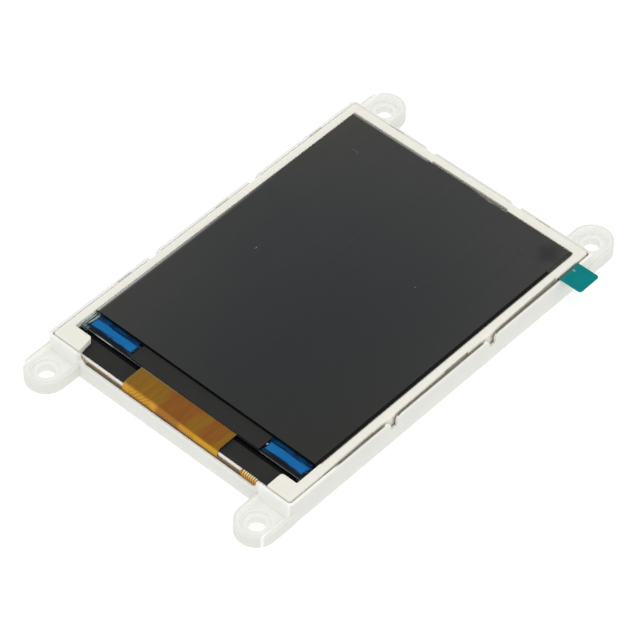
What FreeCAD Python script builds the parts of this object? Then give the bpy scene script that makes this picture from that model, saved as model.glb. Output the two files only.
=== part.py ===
import FreeCAD, Part
import math
import os

V = FreeCAD.Vector
os.makedirs("parts", exist_ok=True)

# A colour display module. X runs along the short side, Y along the long side, Z up.
# The origin is the centre of the four-hole pattern on the mounting plane. The flex leaves at -Y.

# Driving dimensions, in millimetres
hole_r = 1.6                           # clearance hole for an M3 screw
ear_in = 3.75                          # from a long wall's face in to the hole
ear_out_front, ear_out_back = 4.05, 4.35  # from the short walls' faces out to the holes
ear_r, ear_rim = 4.0, 0.7              # ear outline round the hole, and its raised rim
ear_top, ear_floor = 3.0, 2.05         # height of the rim and of the dished floor
dish_slope = 0.55                      # how far the dish's wall leans in on its way down
ring_r, ring_depth = 2.55, 0.25        # shallow counterbore round the hole

# Display glass
glass_x = 25.95                        # half width
cell_front, cell_back = -30.35, 36.7   # ends of the upper glass
ledge = 3.65                           # how far the lower glass runs on at the flex end
glass_t, polariser_t, rear_polariser_t, cover_film_t = 0.5, 0.16, 0.14, 0.08
glass_gap_x, glass_gap_back = 0.1, 0.15

# Cream frame round the glass
border_x, border_back = 1.7, 2.0       # its width beside and beyond the window
block_gap, block_depth = 1.4, 3.7      # corner blocks at the flex end
block_reach_left, block_reach_right = 4.6, 3.35
block_slant = 0.5                      # the left block is this much shorter toward the glass
rail_inset, rail_t = 0.45, 1.25        # the low rail between the blocks
shelf_x, shelf_back = 1.45, 1.15       # shelf under the glass's rim
frame_lip = 0.06                       # the frame's top over the cover film
recess_y0, recess_y1, recess_depth = 0.2, 6.4, 0.18
taper_y0, taper_y1, taper_depth = 8.0, 30.2, 0.28  # the +X side draws in toward the tab
relief_x0, relief_x1, relief_depth = -7.2, 10.6, 0.35  # shallow cut in the window's far edge

# Backlight layers
reflector_t, guide_t, inlet_rise = 0.1, 0.8, 0.38
prism_t, diffuser_t, rim_tape_t, mask_t, glue = 0.08, 0.1, 0.1, 0.1, 0.1
layer_gap = 0.2                        # play of a layer in its pocket

# Carrier
wall, floor_t = 0.6, 0.6
frame_gap_x, frame_gap_front, frame_gap_back = 0.2, 0.1, 0.05
gap_more = 0.12                        # the gap is wider along the +X wall
wall_drop = 0.2                        # the walls stop this far under the frame's top
low_wall_rise = 0.4                    # the low front wall over the frame's underside
notch_half, notch_round, notch_depth = 0.8, 1.3, 2.2
long_notches = (-13.7, 12.0)           # places along Y on both long walls
back_notches = (-9.6, 10.7)            # places along X on the far wall
slit_length, slit_depth, slit_drop = 3.2, 0.15, 1.4
long_slits, back_slits = (-21.2, 3.6, 28.4), (-17.6, 17.2)

# Circuit board and the space for what hangs below it
board_t, board_seat, under_space = 0.8, 0.1, 1.5
board_gap_x, board_gap_front, board_gap_back = 0.65, 1.2, 0.6
stake_inset_x, stake_inset_front, stake_inset_back = 4.8, 7.5, 7.8
stake_r, stake_head_r, stake_head_t, stake_taper = 0.95, 1.5, 0.45, 0.4
stake_fit, boss_half = 0.1, 2.2         # play of a stake in the board's hole, half width of its boss

# Flexes
flex_t, flex_gap = 0.12, 0.14          # sheet, and its distance from the rail
flex_centre, flex_half = -0.15, 11.15  # the flex where it leaves the glass
apron_centre, apron_half = 0.35, 20.55  # its wide part below the fold
tail_inset, tail_w, tail_gap = 2.5, 3.7, 0.05
bond_w = 1.0                           # how far the flex lies on the ledge
bulge_r, fold_r, tail_r = 1.2, 0.5, 0.45

# Places and levels worked out from the values above
window_x, window_back = glass_x + glass_gap_x, cell_back + glass_gap_back
frame_x, frame_back = window_x + border_x, window_back + border_back
ledge_front = cell_front - ledge
block_back = ledge_front - block_gap
frame_front = block_back - block_depth
block_left, block_right = -window_x + block_reach_left, window_x - block_reach_right
left_back = block_left - block_slant
rail_front = frame_front + rail_inset
rail_back = rail_front + rail_t
pocket_x, pocket_back = window_x - shelf_x, window_back - shelf_back
inner_x = frame_x + frame_gap_x
inner_right = inner_x + gap_more
inner_front, inner_back = frame_front - frame_gap_front, frame_back + frame_gap_back
tray_x, tray_front, tray_back = inner_x + wall, inner_front - wall, inner_back + wall

hole_x = tray_x - ear_in
hole_front, hole_back = tray_front - ear_out_front, tray_back + ear_out_back

board_bottom = under_space
board_top = board_bottom + board_t
floor_bottom = board_top + board_seat
floor_top = floor_bottom + floor_t
frame_bottom = floor_top + glue
guide_bottom = frame_bottom + reflector_t
guide_top = guide_bottom + guide_t
inlet_top = guide_top + inlet_rise
diffuser_top = guide_top + diffuser_t
lower_prism_top = diffuser_top + prism_t
upper_prism_top = lower_prism_top + prism_t
rim_tape_top = upper_prism_top + rim_tape_t
tft_bottom = rim_tape_top + rear_polariser_t
tft_top = tft_bottom + glass_t
cell_top = tft_top + glass_t
polariser_top = cell_top + polariser_t
cover_top = polariser_top + cover_film_t
led_flex_top = inlet_top + flex_t
mask_top = led_flex_top + mask_t
frame_top = cover_top + frame_lip
wall_top = frame_top - wall_drop
low_wall_top = frame_bottom + low_wall_rise

board_x = inner_x - board_gap_x
board_front, board_back = inner_front + board_gap_front, inner_back - board_gap_back
stake_x = board_x - stake_inset_x
stake_ys = (board_front + stake_inset_front, board_back - stake_inset_back)
flex_y = rail_front - flex_gap - flex_t / 2
tail_y = flex_y - flex_t - tail_gap
flex_left, flex_right = flex_centre - flex_half, flex_centre + flex_half
apron_left, apron_right = apron_centre - apron_half, apron_centre + apron_half
apron_top = inlet_top - tail_r - 0.13
tail_right = block_right - tail_inset
tail_left = tail_right - tail_w

root_half = math.sqrt(0.5)
past = 1.0                             # how far a cutting solid runs on outside what it cuts
near_zero = 1e-4


# Plain forms

def block(x0, x1, y0, y1, z0, z1):
    return Part.makeBox(x1 - x0, y1 - y0, z1 - z0, V(x0, y0, z0))


def rod(x, y, z0, z1, r):
    return Part.makeCylinder(r, z1 - z0, V(x, y, z0))


def rod_x(half_length, y, z, r):
    return Part.makeCylinder(r, 2 * half_length, V(-half_length, y, z), V(1, 0, 0))


def plate(x0, x1, y0, y1, z0, z1, corner):
    # a flat block with rounded upright corners
    solid = block(x0, x1, y0, y1, z0, z1)
    upright = [e for e in solid.Edges if e.BoundBox.ZLength > near_zero]
    return solid.makeFillet(corner, upright)


def flat_edges(solid, z):
    return [e for e in solid.Edges if abs(e.BoundBox.ZMin - z) < near_zero and e.BoundBox.ZLength < near_zero]


def soften_rim(solid, z, radius):
    # rounds every edge that lies in the plane at height z
    return solid.makeFillet(radius, flat_edges(solid, z))


def bevel_rim(solid, z, size):
    return solid.makeChamfer(size, flat_edges(solid, z))


def face_of(corners):
    return Part.Face(Part.makePolygon(corners + corners[:1]))


def prism_x(points, x0, x1):
    # a (y, z) outline pushed along X
    return face_of([V(x0, y, z) for y, z in points]).extrude(V(x1 - x0, 0, 0))


def line(a, b):
    return Part.LineSegment(a, b).toShape()


def joined(solids):
    return solids[0].fuse(solids[1:]).removeSplitter()


def group(solids):
    return Part.makeCompound(solids)


def bent_profile(points, radii, thickness, across):
    # closed outline of a sheet that follows the points with round bends, in a plane square to across
    h = thickness / 2
    edges, start = [], points[0]
    caps = []
    for i in range(1, len(points)):
        along = (points[i] - points[i - 1]).normalize()
        side = across.cross(along)
        end = points[i]
        bend = i < len(points) - 1
        if bend:
            onward = (points[i + 1] - points[i]).normalize()
            r = radii[i - 1]
            end = points[i] - along * (r * math.tan(along.getAngle(onward) / 2))
        edges += [line(start + side * s, end + side * s) for s in (h, -h)]
        if i == 1:
            caps.append(line(start + side * h, start - side * h))
        if bend:
            toward = 1 if side.dot(onward) > 0 else -1
            centre = end + side * (toward * r)
            start = points[i] + onward * (points[i] - end).Length
            for s in (h, -h):
                reach = r - toward * s
                a, b, c = [centre + (p - centre).normalize() * reach for p in (end, points[i], start)]
                edges.append(Part.Arc(a, b, c).toShape())
        else:
            caps.append(line(end + side * h, end - side * h))
    return Part.Face(Part.Wire(Part.__sortEdges__(edges + caps)))


def bent_strip(route, radii, thickness, x0, x1):
    # a sheet along a (y, z) route, pushed along X
    points = [V(x0, y, z) for y, z in route]
    return bent_profile(points, radii, thickness, V(1, 0, 0)).extrude(V(x1 - x0, 0, 0))


def save(name, shape):
    shape.exportStep("parts/" + name + ".step")
    sound = all(s.isValid() and s.Volume > 0 for s in shape.Solids)
    print(name, len(shape.Solids), "solid(s)", round(shape.Volume, 2), "mm3", "" if sound else "not sound")


# The carrier: walls, floor, ears and heat stakes in one moulding

wall_bevel, corner_round, ear_bevel, ear_foot = 0.2, 0.9, 0.2, 0.3
ear_root = 1.2                         # how far an ear's root runs in behind the wall's face
thick_foot = 0.2                       # the walls are thicker below the floor


def ear(x, y, wall_face):
    # a round-ended lug with a raised rim, flush with the underside, its root in the wall
    root = wall_face + math.copysign(ear_root, -y)

    def slot_shape(r, end, z0, z1):
        return joined([rod(x, y, z0, z1, r), block(x - r, x + r, min(y, end), max(y, end), z0, z1)])

    lug = bevel_rim(bevel_rim(slot_shape(ear_r, root, 0, ear_top), ear_top, ear_bevel), 0, ear_foot)
    wide = ear_r - ear_rim
    narrow, deep = wide - dish_slope, ear_top - ear_floor
    bowl = Part.makeCone(narrow, wide, deep, V(x, y, ear_floor))
    gully = face_of([V(x - narrow, y, ear_floor), V(x + narrow, y, ear_floor), V(x + wide, y, ear_top),
                     V(x - wide, y, ear_top)]).extrude(V(0, wall_face - y, 0))
    ring = rod(x, y, ear_floor - ring_depth, ear_top, ring_r)
    return lug.cut([bowl, gully, ring, rod(x, y, -past, ear_top, hole_r)])


def notch_face():
    # outline of a slot in a wall's top edge, with rounded shoulders
    bottom, shoulder = wall_top - notch_depth, wall_top - notch_round
    middle = notch_round * (1 - root_half)
    edges = [line(V(-notch_half, 0, bottom), V(notch_half, 0, bottom))]
    for s in (-1, 1):
        outer = s * (notch_half + notch_round)
        edges.append(line(V(s * notch_half, 0, bottom), V(s * notch_half, 0, shoulder)))
        edges.append(Part.Arc(V(s * notch_half, 0, shoulder), V(s * (notch_half + middle), 0, wall_top - middle),
                              V(outer, 0, wall_top)).toShape())
        edges.append(line(V(outer, 0, wall_top), V(outer, 0, wall_top + past)))
    across = notch_half + notch_round
    edges.append(line(V(-across, 0, wall_top + past), V(across, 0, wall_top + past)))
    return Part.Face(Part.Wire(Part.__sortEdges__(edges)))


def wall_notches():
    slot = notch_face().extrude(V(0, 4 * wall, 0))
    slot.translate(V(0, -2 * wall, 0))
    cuts = []
    for x in back_notches:
        cut = slot.copy()
        cut.translate(V(x, tray_back, 0))
        cuts.append(cut)
    for y in long_notches:
        for side in (-1, 1):
            cut = slot.copy()
            cut.rotate(V(0, 0, 0), V(0, 0, 1), 90)
            cut.translate(V(side * tray_x, y, 0))
            cuts.append(cut)
    return cuts


def wall_slits():
    # shallow recesses inside the walls, where the gap round the frame opens
    half, low, high = slit_length / 2, wall_top - slit_drop, wall_top + past
    cuts = [block(x - half, x + half, inner_back - wall / 2, inner_back + slit_depth, low, high)
            for x in back_slits]
    for y in long_slits:
        cuts.append(block(inner_right - wall / 2, inner_right + slit_depth, y - half, y + half, low, high))
        cuts.append(block(-inner_x - slit_depth, -inner_x + wall / 2, y - half, y + half, low, high))
    return cuts


ramp, ramp_rise, low_lip = 1.1, 0.9, 0.2


def low_front_wall():
    # between the front ears the wall drops, with a short ramp at each end and a softened outer edge
    left, right = -hole_x + ear_r, hole_x - ear_r
    outline = [(left, wall_top + past), (left, low_wall_top + ramp_rise), (left + ramp, low_wall_top),
               (right - ramp, low_wall_top), (right, low_wall_top + ramp_rise), (right, wall_top + past)]
    drop = face_of([V(x, tray_front - past, z) for x, z in outline])
    lip = prism_x([(tray_front - low_lip, low_wall_top - 2 * low_lip), (tray_front + 2 * low_lip, low_wall_top + low_lip),
                   (tray_front - low_lip, low_wall_top + low_lip)], left + ramp, right - ramp)
    return [drop.extrude(V(0, past + wall + frame_gap_front + rail_inset, 0)), lip]


def heat_stake(x, y):
    # seats the board on a boss and clamps it with a formed head
    boss = block(x - boss_half, x + boss_half, y - boss_half, y + boss_half, board_top, floor_bottom)
    shank = rod(x, y, board_bottom, floor_top, stake_r)
    head = Part.makeCone(stake_head_r, stake_head_r - stake_taper, stake_head_t, V(x, y, board_bottom), V(0, 0, -1))
    return [boss, shank, head]


def carrier_frame():
    body = plate(-tray_x, tray_x, tray_front, tray_back, 0, wall_top, corner_round)
    body = bevel_rim(body, wall_top, wall_bevel)
    ears = [ear(x, y, face) for x in (-hole_x, hole_x)
            for y, face in ((hole_front, tray_front), (hole_back, tray_back))]
    body = joined([body] + ears)
    body = body.cut(plate(-inner_x, inner_right, inner_front, inner_back, floor_top, wall_top + past, corner_round / 2))
    inside = FreeCAD.BoundBox(-inner_x, inner_front, 0, inner_right, inner_back, frame_top)
    inside.enlarge(near_zero * 10)
    inner_rim = [e for e in flat_edges(body, wall_top) if inside.isInside(e.BoundBox)]
    body = body.makeChamfer(wall / 4, inner_rim)
    bay_x, bay_back = inner_x - thick_foot, inner_back - thick_foot
    slot_left, slot_right = apron_left - apron_gap, apron_right + apron_gap
    cuts = [block(-bay_x, bay_x, inner_front, bay_back, -past, floor_bottom),
            block(slot_left, slot_right, inner_front, rail_front, -past, floor_top + past / 2),
            block(-tray_x - past, -bay_x + past, card_y0, card_y1, -past, port_top),
            block(-cable_port, cable_port, bay_back - past, tray_back + past, -past, port_top)]
    body = body.cut(cuts + wall_notches() + wall_slits() + low_front_wall())
    stakes = [piece for x in (-stake_x, stake_x) for y in stake_ys for piece in heat_stake(x, y)]
    return joined([body] + stakes)


# The cream frame and the backlight in it

def backlight_frame():
    body = plate(-frame_x, frame_x, frame_front, frame_back, frame_bottom, frame_top, frame_corner)
    body = soften_rim(body, frame_top, frame_round)
    over = frame_top + past
    under = frame_bottom - past
    window = plate(-window_x, window_x, block_back, window_back, upper_prism_top, over, window_corner)
    guide_pocket = block(-pocket_x, pocket_x, rail_back, block_back, under, led_flex_top)
    film_pocket = block(-pocket_x, pocket_x, block_back, pocket_back, under, frame_top)
    rebate = block(-pocket_x - rebate_w, pocket_x + rebate_w, rail_back - rebate_w, pocket_back + rebate_w,
                   under, guide_bottom)
    between = face_of([V(block_left, frame_front - past, inlet_top), V(block_right, frame_front - past, inlet_top),
                       V(block_right, block_back + past, inlet_top), V(left_back, block_back + past, inlet_top),
                       V(left_back, block_back, inlet_top), V(block_left, frame_front, inlet_top)])
    between = between.extrude(V(0, 0, over - inlet_top))
    relief = block(block_left, block_right, frame_front - past, rail_front, under, over)
    side_recess = block(frame_x - recess_depth, frame_x + past, recess_y0, recess_y1, guide_top, over)
    taper = face_of([V(frame_x, taper_y0, guide_top), V(frame_x + past, taper_y0, guide_top),
                     V(frame_x + past, taper_y1, guide_top), V(frame_x - taper_depth, taper_y1, guide_top)])
    taper = taper.extrude(V(0, 0, over - guide_top))
    far_relief = block(relief_x0, relief_x1, window_back - past, window_back + relief_depth, tft_bottom, over)
    body = body.cut([window, guide_pocket, film_pocket, rebate, between, relief, side_recess, taper, far_relief])
    for x in (left_back, block_right):
        foot = [e for e in body.Edges if e.BoundBox.ZMin > inlet_top - near_zero and e.BoundBox.ZLength > 1
                and abs(e.BoundBox.XMin - x) < near_zero and abs(e.BoundBox.YMin - block_back) < near_zero]
        body = body.makeFillet(block_corner, foot)
    nose = [e for e in flat_edges(body, inlet_top) if abs(e.BoundBox.YMax - rail_front) < near_zero
            and e.BoundBox.YLength < near_zero]
    return body.makeFillet(rail_round, nose)


frame_corner, frame_round, window_corner, block_corner, rail_round = 0.6, 0.4, 0.25, 0.6, 0.3
rebate_w, rebate_gap = 0.8, 0.1
led_count, led_pitch, led_w, led_d, led_h = 6, 6.6, 3.0, 0.85, 0.8
led_middle, led_gap, led_wall, led_cup = 0.7, 0.1, 0.15, 0.35
led_front = rail_back + led_gap
led_back = led_front + led_d
guide_front = led_back + led_gap / 2
wedge_run, wedge_drop = 1.3, 1.1


def reflector_film():
    reach = rebate_w - rebate_gap
    return block(-pocket_x - reach, pocket_x + reach, rail_back - reach, pocket_back + reach,
                 frame_bottom, guide_bottom)


def adhesive_pads():
    width, inset = 9.0, 5.0
    outer = frame_x - inset
    return group([block(x, x + width, cell_front, window_back - inset, floor_top, frame_bottom)
                  for x in (-outer, outer - width)])


def light_guide():
    # a clear plate, thicker where the light enters
    back = pocket_back - layer_gap
    outline = [(guide_front, guide_bottom), (back, guide_bottom), (back, guide_top),
               (guide_front + wedge_run + wedge_drop, guide_top), (guide_front + wedge_run, inlet_top),
               (guide_front, inlet_top)]
    return prism_x(outline, -pocket_x + layer_gap, pocket_x - layer_gap)


def led_places():
    return [led_middle + (i - (led_count - 1) / 2) * led_pitch for i in range(led_count)]


def led_cup_block(x, front_play, back_play):
    half = led_w / 2 - 2.5 * led_wall
    return block(x - half, x + half, led_back - led_cup, led_back + back_play,
                 inlet_top - led_h + led_wall, inlet_top - led_wall)


def backlight_leds():
    return group([block(x - led_w / 2, x + led_w / 2, led_front, led_back, inlet_top - led_h, inlet_top)
                  .cut(led_cup_block(x, 0, past)) for x in led_places()])


def led_phosphors():
    return group([led_cup_block(x, 0, 0) for x in led_places()])


def led_flex():
    # a strip over the diodes, with a tail that bends down in front of the rail
    z = inlet_top + flex_t / 2
    front, back = rail_front + 0.4, guide_front + wedge_run - layer_gap
    strip = block(block_left + layer_gap, block_right - layer_gap, front, back, inlet_top, led_flex_top)
    tail = bent_strip([(front + layer_gap, z), (tail_y, z), (tail_y, floor_bottom + 0.3)], [tail_r], flex_t,
                      tail_left, tail_right)
    return joined([strip, tail])


film_front = ledge_front + layer_gap
film_back = pocket_back - 1.5 * layer_gap
film_x = pocket_x - 1.25 * layer_gap


def film(z0, z1, inset):
    return block(-film_x + inset, film_x - inset, film_front + inset, film_back - inset, z0, z1)


def rim_tape():
    gap, width = 0.15, 2.0
    x, y0, y1 = window_x - gap, ledge_front + gap, window_back - gap
    hole = block(-x + width, x - width, y0 + width, y1 - width, 0, frame_top)
    return block(-x, x, y0, y1, upper_prism_top, rim_tape_top).cut(hole)


# The glass and its films

rear_inset, front_inset = 0.55, 0.03
film_stop = 0.6                        # the cover film stops short of the polariser on the +X side


def rear_polariser():
    x = glass_x - rear_inset
    return block(-x, x, ledge_front + 2.5 * rear_inset, cell_back - rear_inset, rim_tape_top, tft_bottom)


def tft_glass():
    return block(-glass_x, glass_x, ledge_front, cell_back, tft_bottom, tft_top)


def colour_filter_glass():
    return block(-glass_x, glass_x, cell_front, cell_back, tft_top, cell_top)


def front_polariser():
    x = glass_x - front_inset
    return block(-x, x, cell_front + 4 * front_inset, cell_back - 2 * front_inset, cell_top, polariser_top)


def cover_film():
    x = glass_x - 2 * front_inset
    return block(-x, glass_x - film_stop, cell_front + 6 * front_inset, cell_back - 2 * front_inset,
                 polariser_top, cover_top)


tab_y, tab_w, tab_out, tab_t = 32.95, 5.3, 33.0, 0.08
tab_lift, tab_bend, tab_leg, tab_corner = 0.06, 0.22, 1.7, 0.6


def pull_tab():
    # a soft tab held between the frame and the carrier wall, folded out over the wall's top
    gap_x, y0 = (frame_x + inner_right) / 2, tab_y - tab_w / 2
    z = wall_top + tab_lift
    points = [V(gap_x, y0, wall_top - tab_leg), V(gap_x, y0, z), V(tab_out, y0, z)]
    sheet = bent_profile(points, [tab_bend], tab_t, V(0, 1, 0)).extrude(V(0, tab_w, 0))
    tips = [e for e in sheet.Edges if e.BoundBox.XMin > tab_out - near_zero and e.BoundBox.ZLength > tab_t / 2
            and e.BoundBox.YLength < near_zero]
    return sheet.makeFillet(tab_corner, tips)


# Ledge of the lower glass: driver chip, sealants, tape and the main flex

chip_half, chip_depth, chip_h, chip_gap = 8.6, 1.0, 0.28, 0.75
seal_left, seal_right, seal_h, seal_edge = -14.3, 16.0, 0.36, 0.03
blue_h, blue_bevel, blue_gap_front, blue_gap_back = 0.22, 0.12, 0.55, 0.4
blue_left, blue_right = (-25.2, -14.75), (16.15, 25.5)
apron_gap, apron_corner, apron_under = 0.4, 1.0, 3.3
mask_front_gap, mask_gap = 0.25, 0.1


def driver_chip():
    back = cell_front - chip_gap
    return block(-chip_half, chip_half, back - chip_depth, back, tft_top, tft_top + chip_h)


def ledge_sealant():
    # black resin over the chip and the flex's bond
    body = plate(seal_left, seal_right, ledge_front + seal_edge, cell_front - seal_edge, tft_top,
                 tft_top + seal_h, 0.3)
    bond = block(flex_left - seal_edge, flex_right + seal_edge, ledge_front - past, ledge_front + bond_w,
                 tft_top - past, tft_top + flex_t)
    return body.cut([driver_chip(), bond])


def edge_sealant(ends):
    top = tft_top + blue_h
    body = block(ends[0], ends[1], ledge_front + blue_gap_front, cell_front - blue_gap_back, tft_top, top)
    return bevel_rim(body, top, blue_bevel)


def mask_tape():
    front, shoulder = rail_front + mask_front_gap, block_back + past / 2
    start = block_left - block_slant * (front - frame_front) / block_depth + mask_gap
    right = block_right - mask_gap
    skirt = face_of([V(start, front, led_flex_top), V(right, front, led_flex_top),
                     V(right, shoulder, led_flex_top), V(left_back + mask_gap, shoulder, led_flex_top),
                     V(left_back + mask_gap, block_back, led_flex_top)]).extrude(V(0, 0, mask_t))
    nose = [e for e in flat_edges(skirt, mask_top) if e.BoundBox.YMax < front + near_zero]
    band = block(-window_x + mask_gap, window_x - mask_gap, block_back + mask_gap / 2,
                 ledge_front - 1.5 * mask_gap, led_flex_top, mask_top)
    return joined([skirt.makeFillet(mask_t * 0.8, nose), band])


def display_flex():
    # leaves the ledge, bulges over the tape, folds down in front of the rail, widens and turns under the board
    z, pad_z = tft_top + flex_t / 2, board_bottom - flex_t / 2
    top = bent_strip([(ledge_front + bond_w, z), (flex_y, z), (flex_y, apron_top - fold_r)], [bulge_r], flex_t,
                     flex_left, flex_right)
    apron = bent_strip([(flex_y, apron_top), (flex_y, pad_z), (board_front + apron_under, pad_z)], [fold_r],
                       flex_t, apron_left, apron_right)
    corners = [e for e in apron.Edges if e.BoundBox.ZMin > apron_top - near_zero and e.BoundBox.XLength < near_zero]
    return joined([top, apron.makeFillet(apron_corner, corners)])


# The circuit board and what it carries, hanging below it

def hung(x0, x1, y0, y1, low, high):
    # a block measured downward from the board's underside
    return block(x0, x1, y0, y1, board_bottom - high, board_bottom - low)


def circuit_board():
    body = plate(-board_x, board_x, board_front, board_back, board_bottom, board_top, 0.8)
    return body.cut([rod(x, y, 0, floor_top, stake_r + stake_fit) for x in (-stake_x, stake_x) for y in stake_ys])


lead_t, lead_foot, knee_part = 0.12, 0.55, 0.57
proc_x, proc_y, proc_half, proc_high = 5.5, 3.0, 5.0, 1.05
proc_count, proc_pitch, proc_lead_w, proc_reach = 11, 0.8, 0.34, 1.0
memory_x, memory_y, flash_x, flash_y = -14.5, -15.0, -18.5, 20.0
memory_hx, memory_hy, memory_high = 2.5, 1.95, 1.1
memory_count, memory_pitch, memory_lead_w, memory_reach = 4, 1.27, 0.4, 1.0
power_places = ((13.5, -24.0), (-5.5, -22.0), (17.5, 20.5))
power_hx, power_hy, power_high = 1.45, 0.8, 0.95
power_count, power_pitch, power_lead_w, power_reach = 3, 0.95, 0.36, 0.6
chip_lift, dimple_r, dimple_depth = 0.08, 0.4, 0.08


def chip_body(x, y, hx, hy, high):
    return hung(x - hx, x + hx, y - hy, y + hy, chip_lift, high)


def dimpled(body, inset):
    # a round dimple in the lower face, at the corner of the first lead
    b = body.BoundBox
    return body.cut(rod(b.XMin + inset, b.YMax - inset, b.ZMin - past, b.ZMin + dimple_depth, dimple_r))


def gull_lead(width, reach, knee):
    # a bent lead that leaves a package at height knee and stands on the board, pointing along +X
    z, bend = board_bottom, reach * (1 - lead_foot)
    outline = [(0, z - knee), (bend, z - knee), (bend, z - lead_t), (reach, z - lead_t), (reach, z),
               (bend - lead_t, z), (bend - lead_t, z - knee + lead_t), (0, z - knee + lead_t)]
    return face_of([V(a, -width / 2, h) for a, h in outline]).extrude(V(0, width, 0))


def lead_rows(x, y, half_x, half_y, count, pitch, width, reach, knee, turns):
    leads = []
    for turn in turns:
        half = half_x if turn % 180 == 0 else half_y
        for i in range(count):
            lead = gull_lead(width, reach, knee)
            lead.translate(V(half, (i - (count - 1) / 2) * pitch, 0))
            lead.rotate(V(0, 0, 0), V(0, 0, 1), turn)
            lead.translate(V(x, y, 0))
            leads.append(lead)
    return leads


def chips():
    save("graphics_processor", dimpled(chip_body(proc_x, proc_y, proc_half, proc_half, proc_high), 3 * dimple_r))
    save("processor_leads", group(lead_rows(proc_x, proc_y, proc_half, proc_half, proc_count, proc_pitch,
                                            proc_lead_w, proc_reach, proc_high * knee_part, (0, 90, 180, 270))))
    for name, x, y in (("memory", memory_x, memory_y), ("flash", flash_x, flash_y)):
        save(name + "_chip", dimpled(chip_body(x, y, memory_hx, memory_hy, memory_high), 2 * dimple_r))
        save(name + "_leads", group(lead_rows(x, y, memory_hx, memory_hy, memory_count, memory_pitch,
                                              memory_lead_w, memory_reach, memory_high * knee_part, (90, 270))))
    save("power_chips", group([chip_body(x, y, power_hx, power_hy, power_high) for x, y in power_places]))
    leads = [lead for x, y in power_places
             for lead in lead_rows(x, y, power_hx, power_hy, power_count, power_pitch, power_lead_w, power_reach,
                                   power_high * knee_part, (90, 270))]
    save("power_leads", group(leads))


crystal_x, crystal_y, crystal_l, crystal_w, crystal_high = 15.6, 3.25, 3.2, 2.5, 0.8
inductor_x, inductor_y, inductor_w, inductor_high = 19.4, -23.0, 4.0, 1.2


def crystal_can():
    hx, hy, step = crystal_l / 2, crystal_w / 2, 0.2
    foot = hung(crystal_x - hx, crystal_x + hx, crystal_y - hy, crystal_y + hy, 0, 0.25)
    lid = plate(crystal_x - hx + step, crystal_x + hx - step, crystal_y - hy + step, crystal_y + hy - step,
                board_bottom - crystal_high, board_bottom - step, 2 * step)
    return joined([foot, lid])


def power_inductor():
    h = inductor_w / 2
    low, high = board_bottom - inductor_high, board_bottom - 0.1
    core = block(inductor_x - h, inductor_x + h, inductor_y - h, inductor_y + h, low, high)
    core = core.makeChamfer(inductor_w * 0.15, [e for e in core.Edges if e.BoundBox.ZLength > near_zero])
    return core.cut(rod(inductor_x, inductor_y, low - past, low + 0.1, inductor_w / 3))


# two-ended parts: capacitors and resistors, in rows tied to the chips that they serve
cap_l, cap_w, cap_h, cap_step = 1.0, 1.25, 0.85, 2.2
res_l, res_w, res_h, res_step = 0.9, 0.8, 0.45, 1.6
end_l, row_gap = 0.3, 0.9
cap_span, res_span = cap_l / 2 + end_l, res_l / 2 + end_l


def row(x, y, count, step, along_x):
    # places of a row of parts that lie square to the row
    middle = (count - 1) / 2
    if along_x:
        return [(x + (i - middle) * step, y, 90) for i in range(count)]
    return [(x, y + (i - middle) * step, 0) for i in range(count)]


def capacitor_places():
    clear = proc_half + proc_reach + row_gap + cap_span
    places = row(proc_x, proc_y - clear, 5, cap_step, True)
    places += row(proc_x - clear, proc_y, 3, cap_step, False)
    places += row(crystal_x, crystal_y - crystal_w / 2 - row_gap - cap_span, 2, cap_step, True)
    for x, y in power_places:
        places += row(x - power_hx - row_gap - cap_span, y, 2, cap_step, False)
    return places


def resistor_places():
    clear = proc_half + proc_reach + row_gap + res_span
    places = row(proc_x, proc_y + clear, 9, res_step, True)
    places += row(memory_x - memory_hx - row_gap - res_span, memory_y, 5, res_step, False)
    places += row(flash_x + memory_hx + row_gap + res_span, flash_y, 3, res_step, False)
    places += row(proc_x, memory_y, 7, res_step, True)
    for x, y in power_places:
        places += row(x, y + power_hy + power_reach + row_gap + res_span, 3, res_step, True)
    return places


def two_ended(place, length, width, height):
    # the body, then its two metal ends
    x, y, turn = place
    half, w = length / 2, width / 2
    parts = [hung(-half, half, -w, w, 0.02, height), hung(-half - end_l, -half, -w, w, 0, height),
             hung(half, half + end_l, -w, w, 0, height)]
    for p in parts:
        p.rotate(V(0, 0, 0), V(0, 0, 1), turn)
        p.translate(V(x, y, 0))
    return parts


bulk_l, bulk_w, bulk_h, bulk_taper = 3.3, 2.6, 1.2, 0.25
strap_t, strap_run = 0.12, 0.8


def bulk_places():
    # one moulded capacitor before each power chip
    away = power_hy + power_reach + row_gap + bulk_w / 2
    return [(x, y - away) for x, y in power_places]


def diode_place():
    return inductor_x, inductor_y - inductor_w / 2 - row_gap - bulk_w / 2


def moulded_body(x, y):
    # a moulded case, narrower towards its top, that stands on its straps
    half, w, top, waist = bulk_l / 2, bulk_w / 2, board_bottom - bulk_h, board_bottom - bulk_h / 2
    low = board_bottom - strap_t
    outline = [(y - w, low), (y - w, waist), (y - w + bulk_taper, top), (y + w - bulk_taper, top), (y + w, waist),
               (y + w, low)]
    return prism_x(outline, x - half, x + half)


def straps(x, y):
    # flat terminals that bend from the case's ends to under it
    bent = []
    for s in (-1, 1):
        end, w = x + s * bulk_l / 2, bulk_w / 4
        outer, inner = end + s * strap_t, end - s * strap_run
        outline = [(inner, 0), (outer, 0), (outer, bulk_h / 2), (end, bulk_h / 2), (end, strap_t), (inner, strap_t)]
        sheet = face_of([V(a, y - w, board_bottom - h) for a, h in outline])
        bent.append(sheet.extrude(V(0, 2 * w, 0)))
    return bent


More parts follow.
